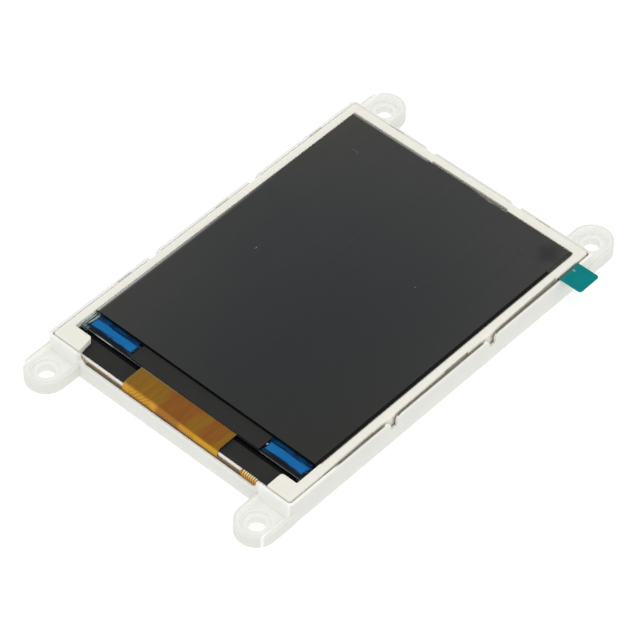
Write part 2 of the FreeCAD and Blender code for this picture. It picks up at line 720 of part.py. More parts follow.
def passives():
    caps = [two_ended(p, cap_l, cap_w, cap_h) for p in capacitor_places()]
    resistors = [two_ended(p, res_l, res_w, res_h) for p in resistor_places()]
    save("capacitor_bodies", group([c[0] for c in caps]))
    save("resistor_bodies", group([r[0] for r in resistors]))
    save("bulk_capacitors", group([moulded_body(x, y) for x, y in bulk_places()]))
    save("flyback_diode", moulded_body(*diode_place()))
    ends = [end for part in caps + resistors for end in part[1:]]
    ends += [strap for x, y in bulk_places() + [diode_place()] for strap in straps(x, y)]
    save("passive_terminals", group(ends))


# Memory card socket, its mouth at the -X side

socket_gap, socket_l, socket_w, socket_h, socket_y = 0.7, 15.0, 14.0, 1.3, 1.0
shell_t, socket_floor_t, socket_back_t, card_gap = 0.15, 0.3, 1.2, 0.8
pad_count, pad_pitch, pad_w, pad_run, pad_t = 8, 1.1, 0.6, 6.3, 0.12
socket_x0 = -board_x + socket_gap
socket_x1 = socket_x0 + socket_l
socket_y0, socket_y1 = socket_y - socket_w / 2, socket_y + socket_w / 2
card_y0, card_y1 = socket_y0 + 1.0, socket_y1 - 1.0
pad_ys = [socket_y + (i - (pad_count - 1) / 2) * pad_pitch for i in range(pad_count)]
port_top = board_bottom - shell_t       # the openings in the carrier's walls end here


def card_socket():
    y0, y1 = socket_y0 + shell_t, socket_y1 - shell_t
    base = hung(socket_x0 + 0.4, socket_x1, y0, y1, 0, socket_floor_t)
    stop = hung(socket_x1 - socket_back_t, socket_x1, y0, y1, 0, socket_floor_t + card_gap)
    groove_low = socket_floor_t / 2
    grooves = [hung(socket_x1 - pad_run - 0.2, socket_x1 + past, y - pad_w / 2 - 0.05, y + pad_w / 2 + 0.05,
                    groove_low, socket_floor_t + 0.05) for y in pad_ys]
    save("card_socket_base", joined([base, stop]).cut(grooves))
    shell = hung(socket_x0, socket_x1, socket_y0, socket_y1, 0, socket_h)
    inside = hung(socket_x0 - past, socket_x1 + past, y0, y1, -past, socket_h - shell_t)
    windows = [hung(socket_x0 + socket_l * 0.3, socket_x0 + socket_l * 0.5, socket_y + s * socket_w / 4 - 1.0,
                    socket_y + s * socket_w / 4 + 1.0, socket_h / 2, socket_h + past) for s in (-1, 1)]
    save("card_socket_shell", shell.cut([inside] + windows))
    blades = []
    for y in pad_ys:
        foot = hung(socket_x1 - pad_run, socket_x1 + 0.5, y - pad_w / 2, y + pad_w / 2, groove_low,
                    groove_low + pad_t)
        crest = hung(socket_x1 - pad_run, socket_x1 - pad_run + pad_w, y - pad_w / 2, y + pad_w / 2,
                     groove_low, socket_floor_t + 0.25)
        blades.append(joined([foot, crest]))
    save("card_socket_contacts", group(blades))


# Flat cable connector with its flip lock, its mouth towards +Y

way_count, way_pitch, way_w, way_gap = 24, 0.5, 0.2, 0.03
plug_gap, plug_d, plug_h = 0.8, 4.4, 1.35
cable_w, cable_fit, mouth_low, mouth_t, mouth_d = 12.5, 0.15, 0.42, 0.36, 2.6
side_w, cheek_w, port_play = 1.8, 1.0, 1.3  # beside the mouth, beside the flap, and in the carrier's wall
hinge_in, hinge_low, pin_r, pin_fit, pin_l = 0.65, 0.95, 0.22, 0.06, 0.5
heel_r, flap_gap, flap_over = 0.36, 0.06, 0.9
contact_t, contact_rise, contact_foot, contact_tip = 0.14, 0.5, 1.2, 0.25
anchor_t, anchor_l, anchor_inset, anchor_h, anchor_w = 0.12, 1.8, 0.5, 0.9, 1.5
tip_in, tip_run, tunnel_in = 1.5, 0.55, 0.6
slot_play, mouth_bevel, grip_w, grip_t = 0.15, 0.35, 1.2, 0.3
plug_y1 = board_back - plug_gap
plug_y0 = plug_y1 - plug_d
mouth_x = cable_w / 2 + cable_fit
plug_x = mouth_x + side_w
cable_port = mouth_x + port_play
flap_x = plug_x - cheek_w
hinge_y, hinge_z = plug_y0 + hinge_in, board_bottom - hinge_low
flap_front = plug_y0 - flap_over
ways = [(i - (way_count - 1) / 2) * way_pitch for i in range(way_count)]
tip_y1 = plug_y1 - tip_in
tip_y0 = tip_y1 - tip_run


def cable_housing():
    body = hung(-plug_x, plug_x, plug_y0, plug_y1, 0, plug_h)
    top, bottom = board_bottom - mouth_low, board_bottom - mouth_low - mouth_t
    bevel = plug_y1 - mouth_bevel
    mouth = prism_x([(plug_y1 - mouth_d, bottom), (plug_y1 - mouth_d, top), (bevel, top),
                     (plug_y1 + mouth_bevel, top + mouth_bevel), (plug_y1 + mouth_bevel, bottom - mouth_bevel),
                     (bevel, bottom)], -mouth_x, mouth_x)
    bay = hung(-flap_x - flap_gap, flap_x + flap_gap, plug_y0 - past, hinge_y + heel_r + flap_gap,
               hinge_low - heel_r - flap_gap, plug_h + past)
    tunnel = hung(-mouth_x + slot_play, mouth_x - slot_play, plug_y0 - past, plug_y1 - tunnel_in, -past,
                  contact_t + slot_play / 2)
    slots = [hung(x - way_w / 2 - way_gap, x + way_w / 2 + way_gap, tip_y0 - slot_play, tip_y1 + slot_play,
                  contact_t, mouth_low + slot_play) for x in ways]
    r = pin_r + pin_fit
    reach = flap_x + pin_l + pin_fit
    bores = rod_x(reach, hinge_y, hinge_z, r)
    throat = block(-reach, reach, plug_y0 - past, hinge_y, hinge_z - r, hinge_z + r)
    return body.cut([mouth, bay, tunnel, bores, throat] + slots)


def cable_lock_flap():
    panel = hung(-flap_x, flap_x, flap_front, hinge_y, hinge_low - pin_r, hinge_low + heel_r)
    grip = hung(-flap_x + grip_w, flap_x - grip_w, flap_front - past, flap_front + grip_t, hinge_low + slot_play,
                plug_h + past)
    heel = rod_x(flap_x, hinge_y, hinge_z, heel_r)
    pins = rod_x(flap_x + pin_l, hinge_y, hinge_z, pin_r)
    return joined([panel.cut(grip), heel, pins])


def cable_contacts():
    # each runs from its solder foot, through the housing, to a raised tip in the mouth
    z, high = board_bottom, board_bottom - contact_rise
    foot_y = plug_y0 - contact_foot
    outline = [(foot_y, z), (tip_y1, z), (tip_y1, high), (tip_y1 - contact_tip, high),
               (tip_y0, z - contact_t), (foot_y, z - contact_t)]
    return group([prism_x(outline, x - way_w / 2, x + way_w / 2) for x in ways])


def cable_anchor_tabs():
    # soldered ears that hold the housing down
    y0, y1 = plug_y1 - anchor_inset - anchor_l, plug_y1 - anchor_inset
    tabs = []
    for s in (-1, 1):
        face, skin, foot = s * plug_x, s * (plug_x + anchor_t), s * (plug_x + anchor_w)
        upright = hung(min(face, skin), max(face, skin), y0, y1, 0, anchor_h)
        flat = hung(min(face, foot), max(face, foot), y0, y1, 0, anchor_t)
        tabs.append(joined([upright, flat]))
    return group(tabs)


save("carrier_frame", carrier_frame())
save("adhesive_pads", adhesive_pads())
save("backlight_frame", backlight_frame())
save("reflector_film", reflector_film())
save("light_guide", light_guide())
save("backlight_leds", backlight_leds())
save("led_phosphors", led_phosphors())
save("led_flex", led_flex())
save("diffuser_film", film(guide_top, diffuser_top, 0))
save("lower_prism_film", film(diffuser_top, lower_prism_top, 0.1))
save("upper_prism_film", film(lower_prism_top, upper_prism_top, 0.1))
save("rim_tape", rim_tape())
save("lower_polariser", rear_polariser())
save("tft_glass", tft_glass())
save("colour_filter_glass", colour_filter_glass())
save("upper_polariser", front_polariser())
save("protective_film", cover_film())
save("pull_tab", pull_tab())
save("driver_chip", driver_chip())
save("ledge_sealant", ledge_sealant())
save("blue_sealant_left", edge_sealant(blue_left))
save("blue_sealant_right", edge_sealant(blue_right))
save("mask_tape", mask_tape())
save("display_flex", display_flex())
save("circuit_board", circuit_board())
chips()
save("crystal_can", crystal_can())
save("power_inductor", power_inductor())
passives()
card_socket()
save("cable_housing", cable_housing())
save("cable_contacts", cable_contacts())
save("cable_anchor_tabs", cable_anchor_tabs())
save("cable_lock_flap", cable_lock_flap())
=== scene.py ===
import bpy
import bmesh
import math
from mathutils import Vector, Matrix, noise


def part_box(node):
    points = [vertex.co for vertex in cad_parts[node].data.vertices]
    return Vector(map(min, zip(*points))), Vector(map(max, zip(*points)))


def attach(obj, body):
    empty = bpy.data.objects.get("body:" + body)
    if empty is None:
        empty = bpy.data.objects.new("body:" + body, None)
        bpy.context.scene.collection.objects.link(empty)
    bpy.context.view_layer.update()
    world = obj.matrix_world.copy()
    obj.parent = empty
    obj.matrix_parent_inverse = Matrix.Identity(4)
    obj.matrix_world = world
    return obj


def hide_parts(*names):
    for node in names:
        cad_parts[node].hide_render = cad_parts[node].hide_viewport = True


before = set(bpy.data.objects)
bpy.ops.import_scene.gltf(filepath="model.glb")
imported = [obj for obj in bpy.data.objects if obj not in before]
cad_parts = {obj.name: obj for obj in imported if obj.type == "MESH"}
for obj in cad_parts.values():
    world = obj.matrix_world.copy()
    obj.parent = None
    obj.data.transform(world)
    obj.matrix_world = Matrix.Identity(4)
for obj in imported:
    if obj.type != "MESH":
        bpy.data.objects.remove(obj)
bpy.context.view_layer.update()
mm = 0.001
print("frame loaded:", len(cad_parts), "nodes")


def corners(node):
    return [Vector(corner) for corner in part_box(node)]


# Material nodes

class Value:
    # what a shader node gives; arithmetic with it adds nodes
    def __init__(self, socket):
        self.socket, self.tree = socket, socket.id_data

    def do(self, operation, other=0.0):
        return newValue(self.tree, "Math", self, other, operation=operation)

    def __add__(self, other):
        return self.do("ADD", other)

    def __mul__(self, other):
        return self.do("MULTIPLY", other)

    def __sub__(self, other):
        return self.do("SUBTRACT", other)

    def __rsub__(self, other):
        return newValue(self.tree, "Math", other, self, operation="SUBTRACT")

    def __radd__(self, other):
        # lets sum() start from a plain 0
        return self if other == 0 else self + other

    def __rmul__(self, other):
        # lets math.prod() start from a plain 1
        return self if other == 1 else self * other


def give(socket, value):
    # a number, a colour or vector, or another node's value
    if isinstance(value, Value):
        socket.id_data.links.new(value.socket, socket)
        return
    if hasattr(socket.default_value, "__len__"):
        whole = (*value, 1) if isinstance(value, tuple) else (value, value, value, 1)
        value = whole[:len(socket.default_value)]
    socket.default_value = value


def addNode(tree, kind, *given, **values):
    # values for its inputs in their order; settings and further inputs by name
    node = tree.nodes.new("ShaderNode" + kind)
    for key, value in values.items():
        if key in node.inputs:
            node.inputs[key].default_value = value
        else:
            setattr(node, key, value)
    for socket, value in zip(node.inputs, given):
        give(socket, value)
    return node


def newValue(tree, kind, *given, **values):
    return Value(addNode(tree, kind, *given, **values).outputs[0])


def shaderOf(mat):
    return mat.node_tree.nodes["Principled BSDF"]


def placeOn(mat, stretch=(1, 1, 1), turn=0.0):
    # object coordinates in millimetres, stretched, and turned about Z
    here = Value(addNode(mat.node_tree, "TexCoord").outputs["Object"])
    return newValue(mat.node_tree, "Mapping", here, Scale=[s / mm for s in stretch], Rotation=(0, 0, turn))


def newFinish(name, color, roughness, specular=0.5, **sockets):
    mat = bpy.data.materials.new(name)
    mat.use_nodes = True
    sockets = {"Base Color": color, "Roughness": roughness, "Specular IOR Level": specular, **sockets}
    for socket, value in sockets.items():
        give(shaderOf(mat).inputs[socket.replace("_", " ")], value)
    return mat, placeOn(mat)


def noiseAt(place, scale, detail=3.0, distortion=0.0):
    return newValue(place.tree, "TexNoise", place, Scale=scale, Detail=detail, Distortion=distortion)


def drawnNoise(mat, stretch, detail=3.0, turn=0.0, distortion=0.0):
    # noise drawn out along the axes
    return noiseAt(placeOn(mat, stretch, turn), 1.0, detail, distortion)


def ramp(value, *stops):
    # stops are (position, colour or grey level)
    node = addNode(value.tree, "ValToRGB", value)
    items = node.color_ramp.elements
    while len(items) < len(stops):
        items.new(0.5)
    for item, (at, tone) in zip(items, stops):
        item.position = at
        item.color = (*tone, 1) if isinstance(tone, tuple) else (tone, tone, tone, 1)
    return Value(node.outputs["Color"])


def clouded(value, color, dark, low=0.3):
    # a colour that goes down to a share of itself
    return ramp(value, (low, tuple(c * dark for c in color)), (1 - low, color))


def mix(factor, one, two, how="MIX"):
    tree = next(v.tree for v in (factor, one, two) if isinstance(v, Value))
    node = addNode(tree, "Mix", data_type="RGBA", blend_type=how, clamp_factor=False)
    for i, value in zip((0, 6, 7), (factor, one, two)):
        give(node.inputs[i], value)
    return Value(node.outputs[2])


def shaded(tone, by):
    return mix(1.0, tone, by, "MULTIPLY")


def slide(value, start, end, low=0.0, high=1.0, soft=True):
    # runs from low to high while the value goes from start to end
    return newValue(value.tree, "MapRange", value, start, end, low, high,
                    interpolation_type="SMOOTHSTEP" if soft else "LINEAR")


def turnAt(value, at, half):
    # from 0 to 1 about a value, or back from 1 to 0 where half is negative
    return slide(value, at - half, at + half)


def band(value, low, high, soft):
    # 1 between low and high
    return turnAt(value, low, soft) * turnAt(value, high, -soft)


def axes(place):
    return [Value(out) for out in addNode(place.tree, "SeparateXYZ", place).outputs]


def zone(place, ramps):
    # the product of ramps along the axes, each (axis, start, end), with a 1 after them where it runs straight
    along = dict(zip("XYZ", axes(place)))
    return math.prod(slide(along[axis], start, end, soft=not straight)
                     for axis, start, end, *straight in ramps)


def washed(place, tone, washes):
    # each wash is the ramps of its zone and its tone
    for ramps, wash in washes:
        tone = mix(zone(place, ramps), tone, wash)
    return tone


def patched(place, tone, patch):
    # one blurred rectangle
    x, y, z = axes(place)
    there = band(x, *patch["x"], patch["soft"]) * band(y, *patch["y"], patch["soft"])
    return mix(there * patch["share"], tone, patch["tone"])


def stripes(place, direction, pitch, sharp, **others):
    # lines square to a direction, one every pitch millimetres
    dot = addNode(place.tree, "VectorMath", place, tuple(d * 2 * math.pi / pitch for d in direction),
                  operation="DOT_PRODUCT")
    return slide(Value(dot.outputs["Value"]).do("SINE"), -sharp, sharp)


def paint(mat, color, bump=None, rough=None):
    # bump is a height and its depth in millimetres; rough is a value with the least and most roughness
    sockets = shaderOf(mat).inputs
    give(sockets["Base Color"], color)
    if bump:
        height, depth = bump
        node = addNode(mat.node_tree, "Bump", Strength=1.0, Distance=depth * mm)
        give(node.inputs["Height"], height)
        give(sockets["Normal"], Value(node.outputs["Normal"]))
    if rough:
        worn, least, most = rough
        give(sockets["Roughness"], slide(worn, 0.3, 0.7, least, most, soft=False))
    return mat


# Moulded whites

# painted light: a pale tone that lifts the shade in the gaps between frame and carrier
gapLight = (0.98, 0.97, 0.94)
whites = {
    "carrier": {"color": (0.805, 0.81, 0.765), "rough": 0.5, "cloud": 0.97, "grain": 0.005, "rub": 0.2},
    "frame": {"color": (0.87, 0.855, 0.765), "rough": 0.42, "cloud": 0.985, "grain": 0.004, "rub": 0.1},
    "translucence": {"Subsurface_Weight": 0.6, "Subsurface_Radius": (1.0, 1.0, 0.9), "Subsurface_Scale": 0.0007},
    # painted light: the ears' dishes get a lighter tone where the recess falls in shade
    "dish": {"x": 24.8, "y": 43.85, "radius": 3.42, "soft": 0.08, "from": 39.4, "end": 0.05,
             "tone": (0.90, 0.905, 0.87)},
    # painted shade on the carrier wall's inner top edge beside the frame, taken off at the notches
    "wall": {"zone": (("X", 28.50, 28.28, 1), ("Z", 5.2, 5.4), ("X", 28.0, 28.1), ("Y", -29.0, -27.0),
                      ("Y", 34.0, 32.0)), "tone": (0.14, 0.125, 0.10)},
    "carrierWashes": (
        # painted highlight along the wall's inner top edge
        ((("Z", 5.22, 5.45), ("X", 28.0, 28.2)), (0.97, 0.955, 0.86)),
        # painted light on the carrier's inner faces in the gaps
        ((("X", -27.7, -27.85), ("X", -28.22, -28.1)), gapLight),
        ((("Y", -29.0, -30.5), ("X", 27.9, 28.0), ("X", 28.35, 28.2)), gapLight),
    ),
    "frameWashes": (
        ((("Y", -37.2, -37.7), ("Z", 4.6, 4.4)), (0.93, 0.87, 0.77)),
        ((("X", 26.34, 26.10, 1), ("X", 25.5, 25.6), ("Y", -29.8, -29.4), ("Y", 36.6, 36.0)),
         (0.06, 0.06, 0.045)),
        # painted light on the frame's sides in the gaps
        ((("Z", 5.62, 5.4), ("X", -27.6, -27.7)), gapLight),
        ((("Z", 5.62, 5.4), ("X", 27.3, 27.4), ("Y", -30.0, -31.5)), gapLight),
        # tan on the frame's low front face below the flex, painted in the tone of the flex apron in shade
        ((("Y", -38.5, -38.62), ("Z", 3.74, 3.62)), (0.98, 0.75, 0.46)),
    ),
    "gap": {"onset": 27.75, "wedges": ((-26.2, -18.5), (-14.2, 6.3), (11.4, 29.4)), "wedgeEnd": 0.4, "reach": 0.33,
            "top": (("Z", 5.66, 5.74),), "topRamp": (0.0, 0.5, 0.0, 0.8, False),
            "side": (("Z", 5.74, 5.66), ("X", 27.2, 27.3)), "sideRamp": (0.1, 0.45), "sideTop": 5.8,
            "sideSlope": 0.55, "ends": (("Y", -32.0, -30.0), ("Y", 36.0, 35.5)), "tone": (0.64, 0.61, 0.52)},
    "notches": {"at": (-13.7, 12.0), "from": (-2.3, -1.9), "to": (0.7, 0.1), "left": 0.12},
}


def mouldedPlastic(name, look):
    # faint cloudiness and flow marks, a fine eroded grain, uneven gloss
    mat, place = newFinish(name, look["color"], look["rough"], 0.35, **whites["translucence"])
    cloud = noiseAt(place, 0.12, 4)
    flow = drawnNoise(mat, (0.03, 0.3, 0.4), 3, 0.3, 0.6)
    tone = shaded(clouded(cloud, look["color"], look["cloud"]), ramp(flow, (0.35, 0.985), (0.65, 1.0)))
    height = noiseAt(place, 7.0, 2) + drawnNoise(mat, (0.25, 6.0, 2.0), 2, 0.7) * look["rub"]
    paint(mat, tone, (height, look["grain"]), (cloud, look["rough"] - 0.05, look["rough"] + 0.06))
    return mat, place, tone


def closed(y):
    # for the painted gap shade: nearly 0 where a notch of the wall lets light into the gap
    look = whites["notches"]
    (a, b), (c, d) = look["from"], look["to"]
    return math.prod(slide(slide(y, at + a, at + b) * slide(y, at + c, at + d), 0.0, 1.0, 1.0, look["left"])
                     for at in look["at"])


def carrierFinish():
    # painted light in the ears' dishes, a painted highlight on the wall's inner top edge, painted light lifting
    # the shade in the gaps, and painted shade on the wall beside the frame
    mat, place, tone = mouldedPlastic("carrierWhite", whites["carrier"])
    dish, wall = whites["dish"], whites["wall"]
    x, y, z = axes(place)
    along = y.do("ABSOLUTE")
    side = x.do("ABSOLUTE") - dish["x"]
    far = (along - dish["y"]).do("MAXIMUM", 0.0)
    reach = (side * side + far * far).do("POWER", 0.5)
    inside = turnAt(reach, dish["radius"], -dish["soft"]) * turnAt(along, dish["from"], dish["end"])
    tone = mix(inside, tone, dish["tone"])
    tone = washed(place, tone, whites["carrierWashes"])
    return paint(mat, mix(zone(place, wall["zone"]) * closed(y), tone, wall["tone"]))


def gapShade(place):
    # painted shade: the frame's edge greys towards the gap beside the tab, in wedges that widen between the
    # notches
    look = whites["gap"]
    x, y, z = axes(place)
    wedge = sum(slide(y, start, end) * slide(y, end + look["wedgeEnd"], end) for start, end in look["wedges"])
    past = x + wedge * look["reach"] - look["onset"]
    depth = (look["sideTop"] - z) * look["sideSlope"]
    top = slide(past, *look["topRamp"]) * zone(place, look["top"])
    side = slide(past + depth, *look["sideRamp"]) * zone(place, look["side"]) * closed(y)
    return top.do("MAXIMUM", side) * zone(place, look["ends"])


def frameFinish():
    # painted shade towards the gap, warmer on the low rail, dark at the film's edge, painted light lifting the
    # gap's shade on the sides, tan on the low front face below the flex
    mat, place, tone = mouldedPlastic("frameCream", whites["frame"])
    tone = mix(gapShade(place), tone, whites["gap"]["tone"])
    return paint(mat, washed(place, tone, whites["frameWashes"]))


# The black display under its clear film

display = {
    "middle": (0.0088, 0.0104, 0.0130), "edge": (0.0160, 0.0174, 0.0164), "reach": (25.0, 35.0),
    "tilt": (-0.0040, 0.0066, 0.0046), "shaken": 0.9,
    "patches": (
        # painted reflection of the frame along the far edge
        {"x": (8.0, 25.8), "y": (35.9, 36.9), "soft": 0.3, "share": 0.7, "tone": (0.028, 0.026, 0.017)},
        # painted sheen strip on the far edge
        {"x": (3.5, 10.9), "y": (36.45, 37.4), "soft": 0.25, "share": 1.0, "tone": (0.20, 0.20, 0.165)},
        # painted reflection of the frame along the right edge near the far corner
        {"x": (24.9, 25.8), "y": (30.6, 36.9), "soft": 0.3, "share": 0.8, "tone": (0.036, 0.032, 0.022)},
        {"x": (-1.4, 2.2), "y": (-2.0, 2.0), "soft": 1.3, "share": 0.9, "tone": (0.008, 0.008, 0.013),
         "at": (22.5, 33.5, 0), "turn": 41.5},
    ),
    "wave": {"from": (18.3, 30.0), "to": (23.7, 31.75), "ripple": (2.3, 0.35), "half": 0.3, "soft": 0.4,
             "share": 0.6, "tone": (0.014, 0.014, 0.015)},
    "washes": (
        # painted highlight along the film's left edge, growing towards the front
        ((("X", -25.05, -25.9, 1),) * 3 + (("Y", 16.0, -30.0, 1),), (0.80, 0.80, 0.76)),
        # painted highlight at the left part of the far edge
        ((("Y", 36.1, 36.9, 1),) * 2 + (("X", -7.2, -8.5),), (0.80, 0.80, 0.76)),
    ),
}


def turnedAbout(place, centre, angle):
    # places measured from a centre, along axes turned by degrees
    turned = newValue(place.tree, "VectorRotate", place, centre, rotation_type="Z_AXIS",
                      Angle=-math.radians(angle))
    return newValue(place.tree, "VectorMath", turned, centre, operation="SUBTRACT")


def smudgesAndReflections(place, tone):
    # painted reflections of the frame as thin brown margins at the far corner, a painted sheen strip along the far
    # edge, a dark print beside them and the outline of a second one
    edge = (noiseAt(place, 0.9) - 0.5) * display["shaken"]
    for patch in display["patches"]:
        start = turnedAbout(place, patch["at"], patch["turn"]) if "at" in patch else place
        tone = patched(newValue(place.tree, "VectorMath", start, edge, operation="ADD"), tone, patch)
    wave = display["wave"]
    (x0, y0), (x1, y1) = wave["from"], wave["to"]
    slope, (often, swing) = (y1 - y0) / (x1 - x0), wave["ripple"]
    x, y, z = axes(place)
    across = y - x * slope + (x * often).do("SINE") * swing
    level = y0 - x0 * slope
    line = slide(across, level - wave["half"], level) * slide(across, level + wave["half"], level)
    return mix(line * band(x, x0, x1, wave["soft"]) * wave["share"], tone, wave["tone"])


def displayFinish():
    # darkest in the middle, lighter towards the edges and corners, wiped and smudged, with painted reflections and
    # highlights at its edges
    look = display
    mat, place = newFinish("displayFilm", look["middle"], 0.14, 0.3)
    x, y = (along * (1 / reach) for along, reach in zip(axes(place), look["reach"]))
    alongX, alongY, both = look["tilt"]
    tone = mix(x * x + y * y, look["middle"], look["edge"])
    tone = mix(1.0, tone, x * alongX + (y * alongY + x * y * both), "ADD")
    cloud = ramp(drawnNoise(mat, (0.05, 0.035, 1), 4), (0.3, (0.88, 0.89, 0.95)), (0.7, (1.08, 1.09, 1.03)))
    wipe = ramp(drawnNoise(mat, (0.9, 0.05, 1), 3, 0.5), (0.3, 0.93), (0.7, 1.05))
    tone = smudgesAndReflections(place, shaded(shaded(tone, cloud), wipe))
    return paint(mat, washed(place, tone, look["washes"]), (drawnNoise(mat, (0.05, 0.05, 1), 2), 0.01),
                 (noiseAt(place, 0.4, 4), 0.10, 0.2))


polariser = {"black": (0.0025, 0.0025, 0.0015), "filmReflection": (0.060, 0.055, 0.043),
             "zone": (("Y", 30.2, 30.3),)}


def polariserFinish():
    # bare and deep black, but for the last stretch, where the clear film reaches the frame and its reflection is
    # painted in a brownish tone
    mat, place = newFinish("polariserBlack", polariser["black"], 0.25, 0.1)
    speck = noiseAt(place, 2.0)
    filmReflection = zone(place, polariser["zone"]) * slide(speck, 0.3, 0.7, 0.6, 1.0)
    return paint(mat, mix(filmReflection, polariser["black"], polariser["filmReflection"]), rough=(speck, 0.2, 0.32))


ledge = {
    "top": (0.0030, 0.0033, 0.0042),
    "cut": {"zone": (("Y", -33.9, -33.96), ("Z", 4.76, 4.84)), "tone": (0.11, 0.145, 0.165)},
    "flash": {"x": (-22.3, -18.6), "soft": 0.8, "tone": (0.80, 0.80, 0.76)},
    "unlit": {"x": (10.0, 16.3), "soft": 0.6, "share": 0.85},
    # painted glints on the glass at the ledge's left end
    "margin": {"zone": (("X", -24.05, -25.65), ("Y", -30.1, -30.6)), "tone": (0.38, 0.50, 0.51)},
    "glint": {"x": (25.0, 25.7), "y": (-32.0, -31.0), "soft": (0.2, 0.3), "tone": (0.13, 0.13, 0.12)},
    "wet": {"zone": (("Z", 5.34, 5.2), ("Y", -31.1, -30.85)), "x": ((-24.6, -15.4), (15.7, 25.0)), "soft": 0.3,
            "tone": (0.0035, 0.06, 0.18)},
}


def ledgeFinish():
    # coated glass, black from above, with painted highlights in places where its cut edge catches the light,
    # painted glints at its ends, blue where the sealant climbs
    top, cut, flash, unlit, margin, glint, wet = ledge.values()
    mat, place = newFinish("coatedGlass", top, 0.1, 0.12)
    x, y, z = axes(place)
    along, lines = drawnNoise(mat, (0.5, 0.1, 0.1)), drawnNoise(mat, (4.0, 0.3, 0.3), 2)
    lit = band(x, *flash["x"], flash["soft"]) * slide(along, 0.3, 0.6, 0.5, 1.0)
    edge = mix(lit, cut["tone"], flash["tone"])
    edge = mix(band(x, *unlit["x"], unlit["soft"]) * unlit["share"], edge, top)
    tone = mix(zone(place, margin["zone"]) * slide(lines, 0.35, 0.6), top, margin["tone"])
    shine = band(x, *glint["x"], glint["soft"][0]) * band(y, *glint["y"], glint["soft"][1])
    tone = mix(shine * slide(lines, 0.4, 0.6), tone, glint["tone"])
    spread = sum(band(x, *span, wet["soft"]) for span in wet["x"])
    climb = zone(place, wet["zone"]) * spread * slide(along, 0.3, 0.55, 0.35, 1.0)
    return paint(mat, mix(zone(place, cut["zone"]), mix(climb, tone, wet["tone"]), edge))


# Plain finishes

def coatedFinish(name, color, rough, scale=0.6, depth=0.01, specular=0.4, dark=0.8):
    # film, tape, resin and moulded cases: uneven tone, slight waves, uneven gloss
    mat, place = newFinish(name, color, rough, specular)
    waves = noiseAt(place, scale)
    return paint(mat, clouded(waves, color, dark), (waves, depth),
                 (noiseAt(place, scale * 4), rough - 0.05, rough + 0.05))


def sheetFinish(name, color, rough):
    # backlight sheets: pale, with a dark margin at the ledge end
    mat = coatedFinish(name, color, rough, 0.6, 0.01, 0.1, 0.97)
    tone = Value(shaderOf(mat).inputs["Base Color"].links[0].from_socket)
    return paint(mat, washed(placeOn(mat), tone, (((("Y", -33.0, -33.3),), (0.006, 0.006, 0.006)),)))


def metalFinish(name, color, rough, stretch=(1, 1, 1), scale=4.0, dark=0.75):
    # rubbed along one way, a little duller where it was touched
    mat, place = newFinish(name, color, rough, Metallic=1.0)
    rub = noiseAt(placeOn(mat, stretch), scale, 4)
    return paint(mat, clouded(rub, color, dark, 0.25), (rub, 0.004), (rub, rough - 0.07, rough + 0.1))


teal = {
    # deep: painted shade on the tab where it dips into the gap
    "film": (0.001, 0.215, 0.222), "deep": (((("X", 28.9, 28.2),), (0.045, 0.155, 0.14)),),
    # painted sheen spot on the tab
    "sheenSpot": {"x": (28.52, 28.96), "y": (33.568, 33.832), "soft": 0.2, "share": 0.6, "tone": (0.55, 0.75, 0.72)},
}


def tealFinish():
    # painted shade where it dips into the gap, one small painted sheen spot
    mat, place = newFinish("tealFilm", teal["film"], 0.3, 0.05)
    waves = drawnNoise(mat, (0.4, 0.25, 1))
    tone = washed(place, clouded(waves, teal["film"], 0.9), teal["deep"])
    return paint(mat, patched(place, tone, teal["sheenSpot"]), (waves, 0.01))


# Amber flexes

flexLook = {
    "olive": (0.228, 0.107, 0.005), "cloud": ((0.3, 0.84), (0.7, 1.12)),
    "brown": {"x": ((-1.9, 4.9), (7.5, 10.9)), "soft": 0.7, "wander": 3.0, "tone": (0.222, 0.072, 0.006)},
    # painted highlight over the fold, brighter to the right, duller in the middle
    "fold": {"top": 4.88, "soft": 0.2, "lift": (-5.0, 8.0, 0.0, 0.2)},
    "bright": (0.62, 0.315, 0.03), "brightRight": {"from": (4.0, 7.5), "tone": (0.62, 0.32, 0.02)},
    "dull": {"x": (-3.4, 2.0), "soft": 0.6, "tone": (0.36, 0.15, 0.025)},
    "fan": {"direction": (1, -0.31, -0.97), "pitch": 0.84, "sharp": 1.2, "x": (-9.9, -4.9)},
    "ribs": {"direction": (1, 0.05, 0), "pitch": 0.42, "sharp": 0.8, "x": (1.9, 5.5), "share": 0.45},
    "stripe": (0.36, 0.13, 0.012),
    "streaks": {"direction": (1, -0.31, -0.25), "pitch": 0.37, "sharp": 1.0, "share": 0.16,
                "tone": (0.30, 0.15, 0.02)},
    "green": {"from": (-10.0, -11.2), "share": 0.6, "tone": (0.20, 0.135, 0.02)},
    "rim": {"zone": (("Y", -34.32, -34.14),), "along": (0.0, -6.0, 0.25, 0.9), "tone": (0.22, 0.19, 0.10)},
    # painted shade on the wide part beside the narrow flex
    "narrow": (-11.3, 11.0), "shade": (0.22, 0.165, 0.10),
    # painted shade at the right end and along the low edge
    "washes": (((("X", 20.18, 20.38),), (0.045, 0.025, 0.006)), ((("Z", 3.57, 3.27),), (0.34, 0.25, 0.17))),
}


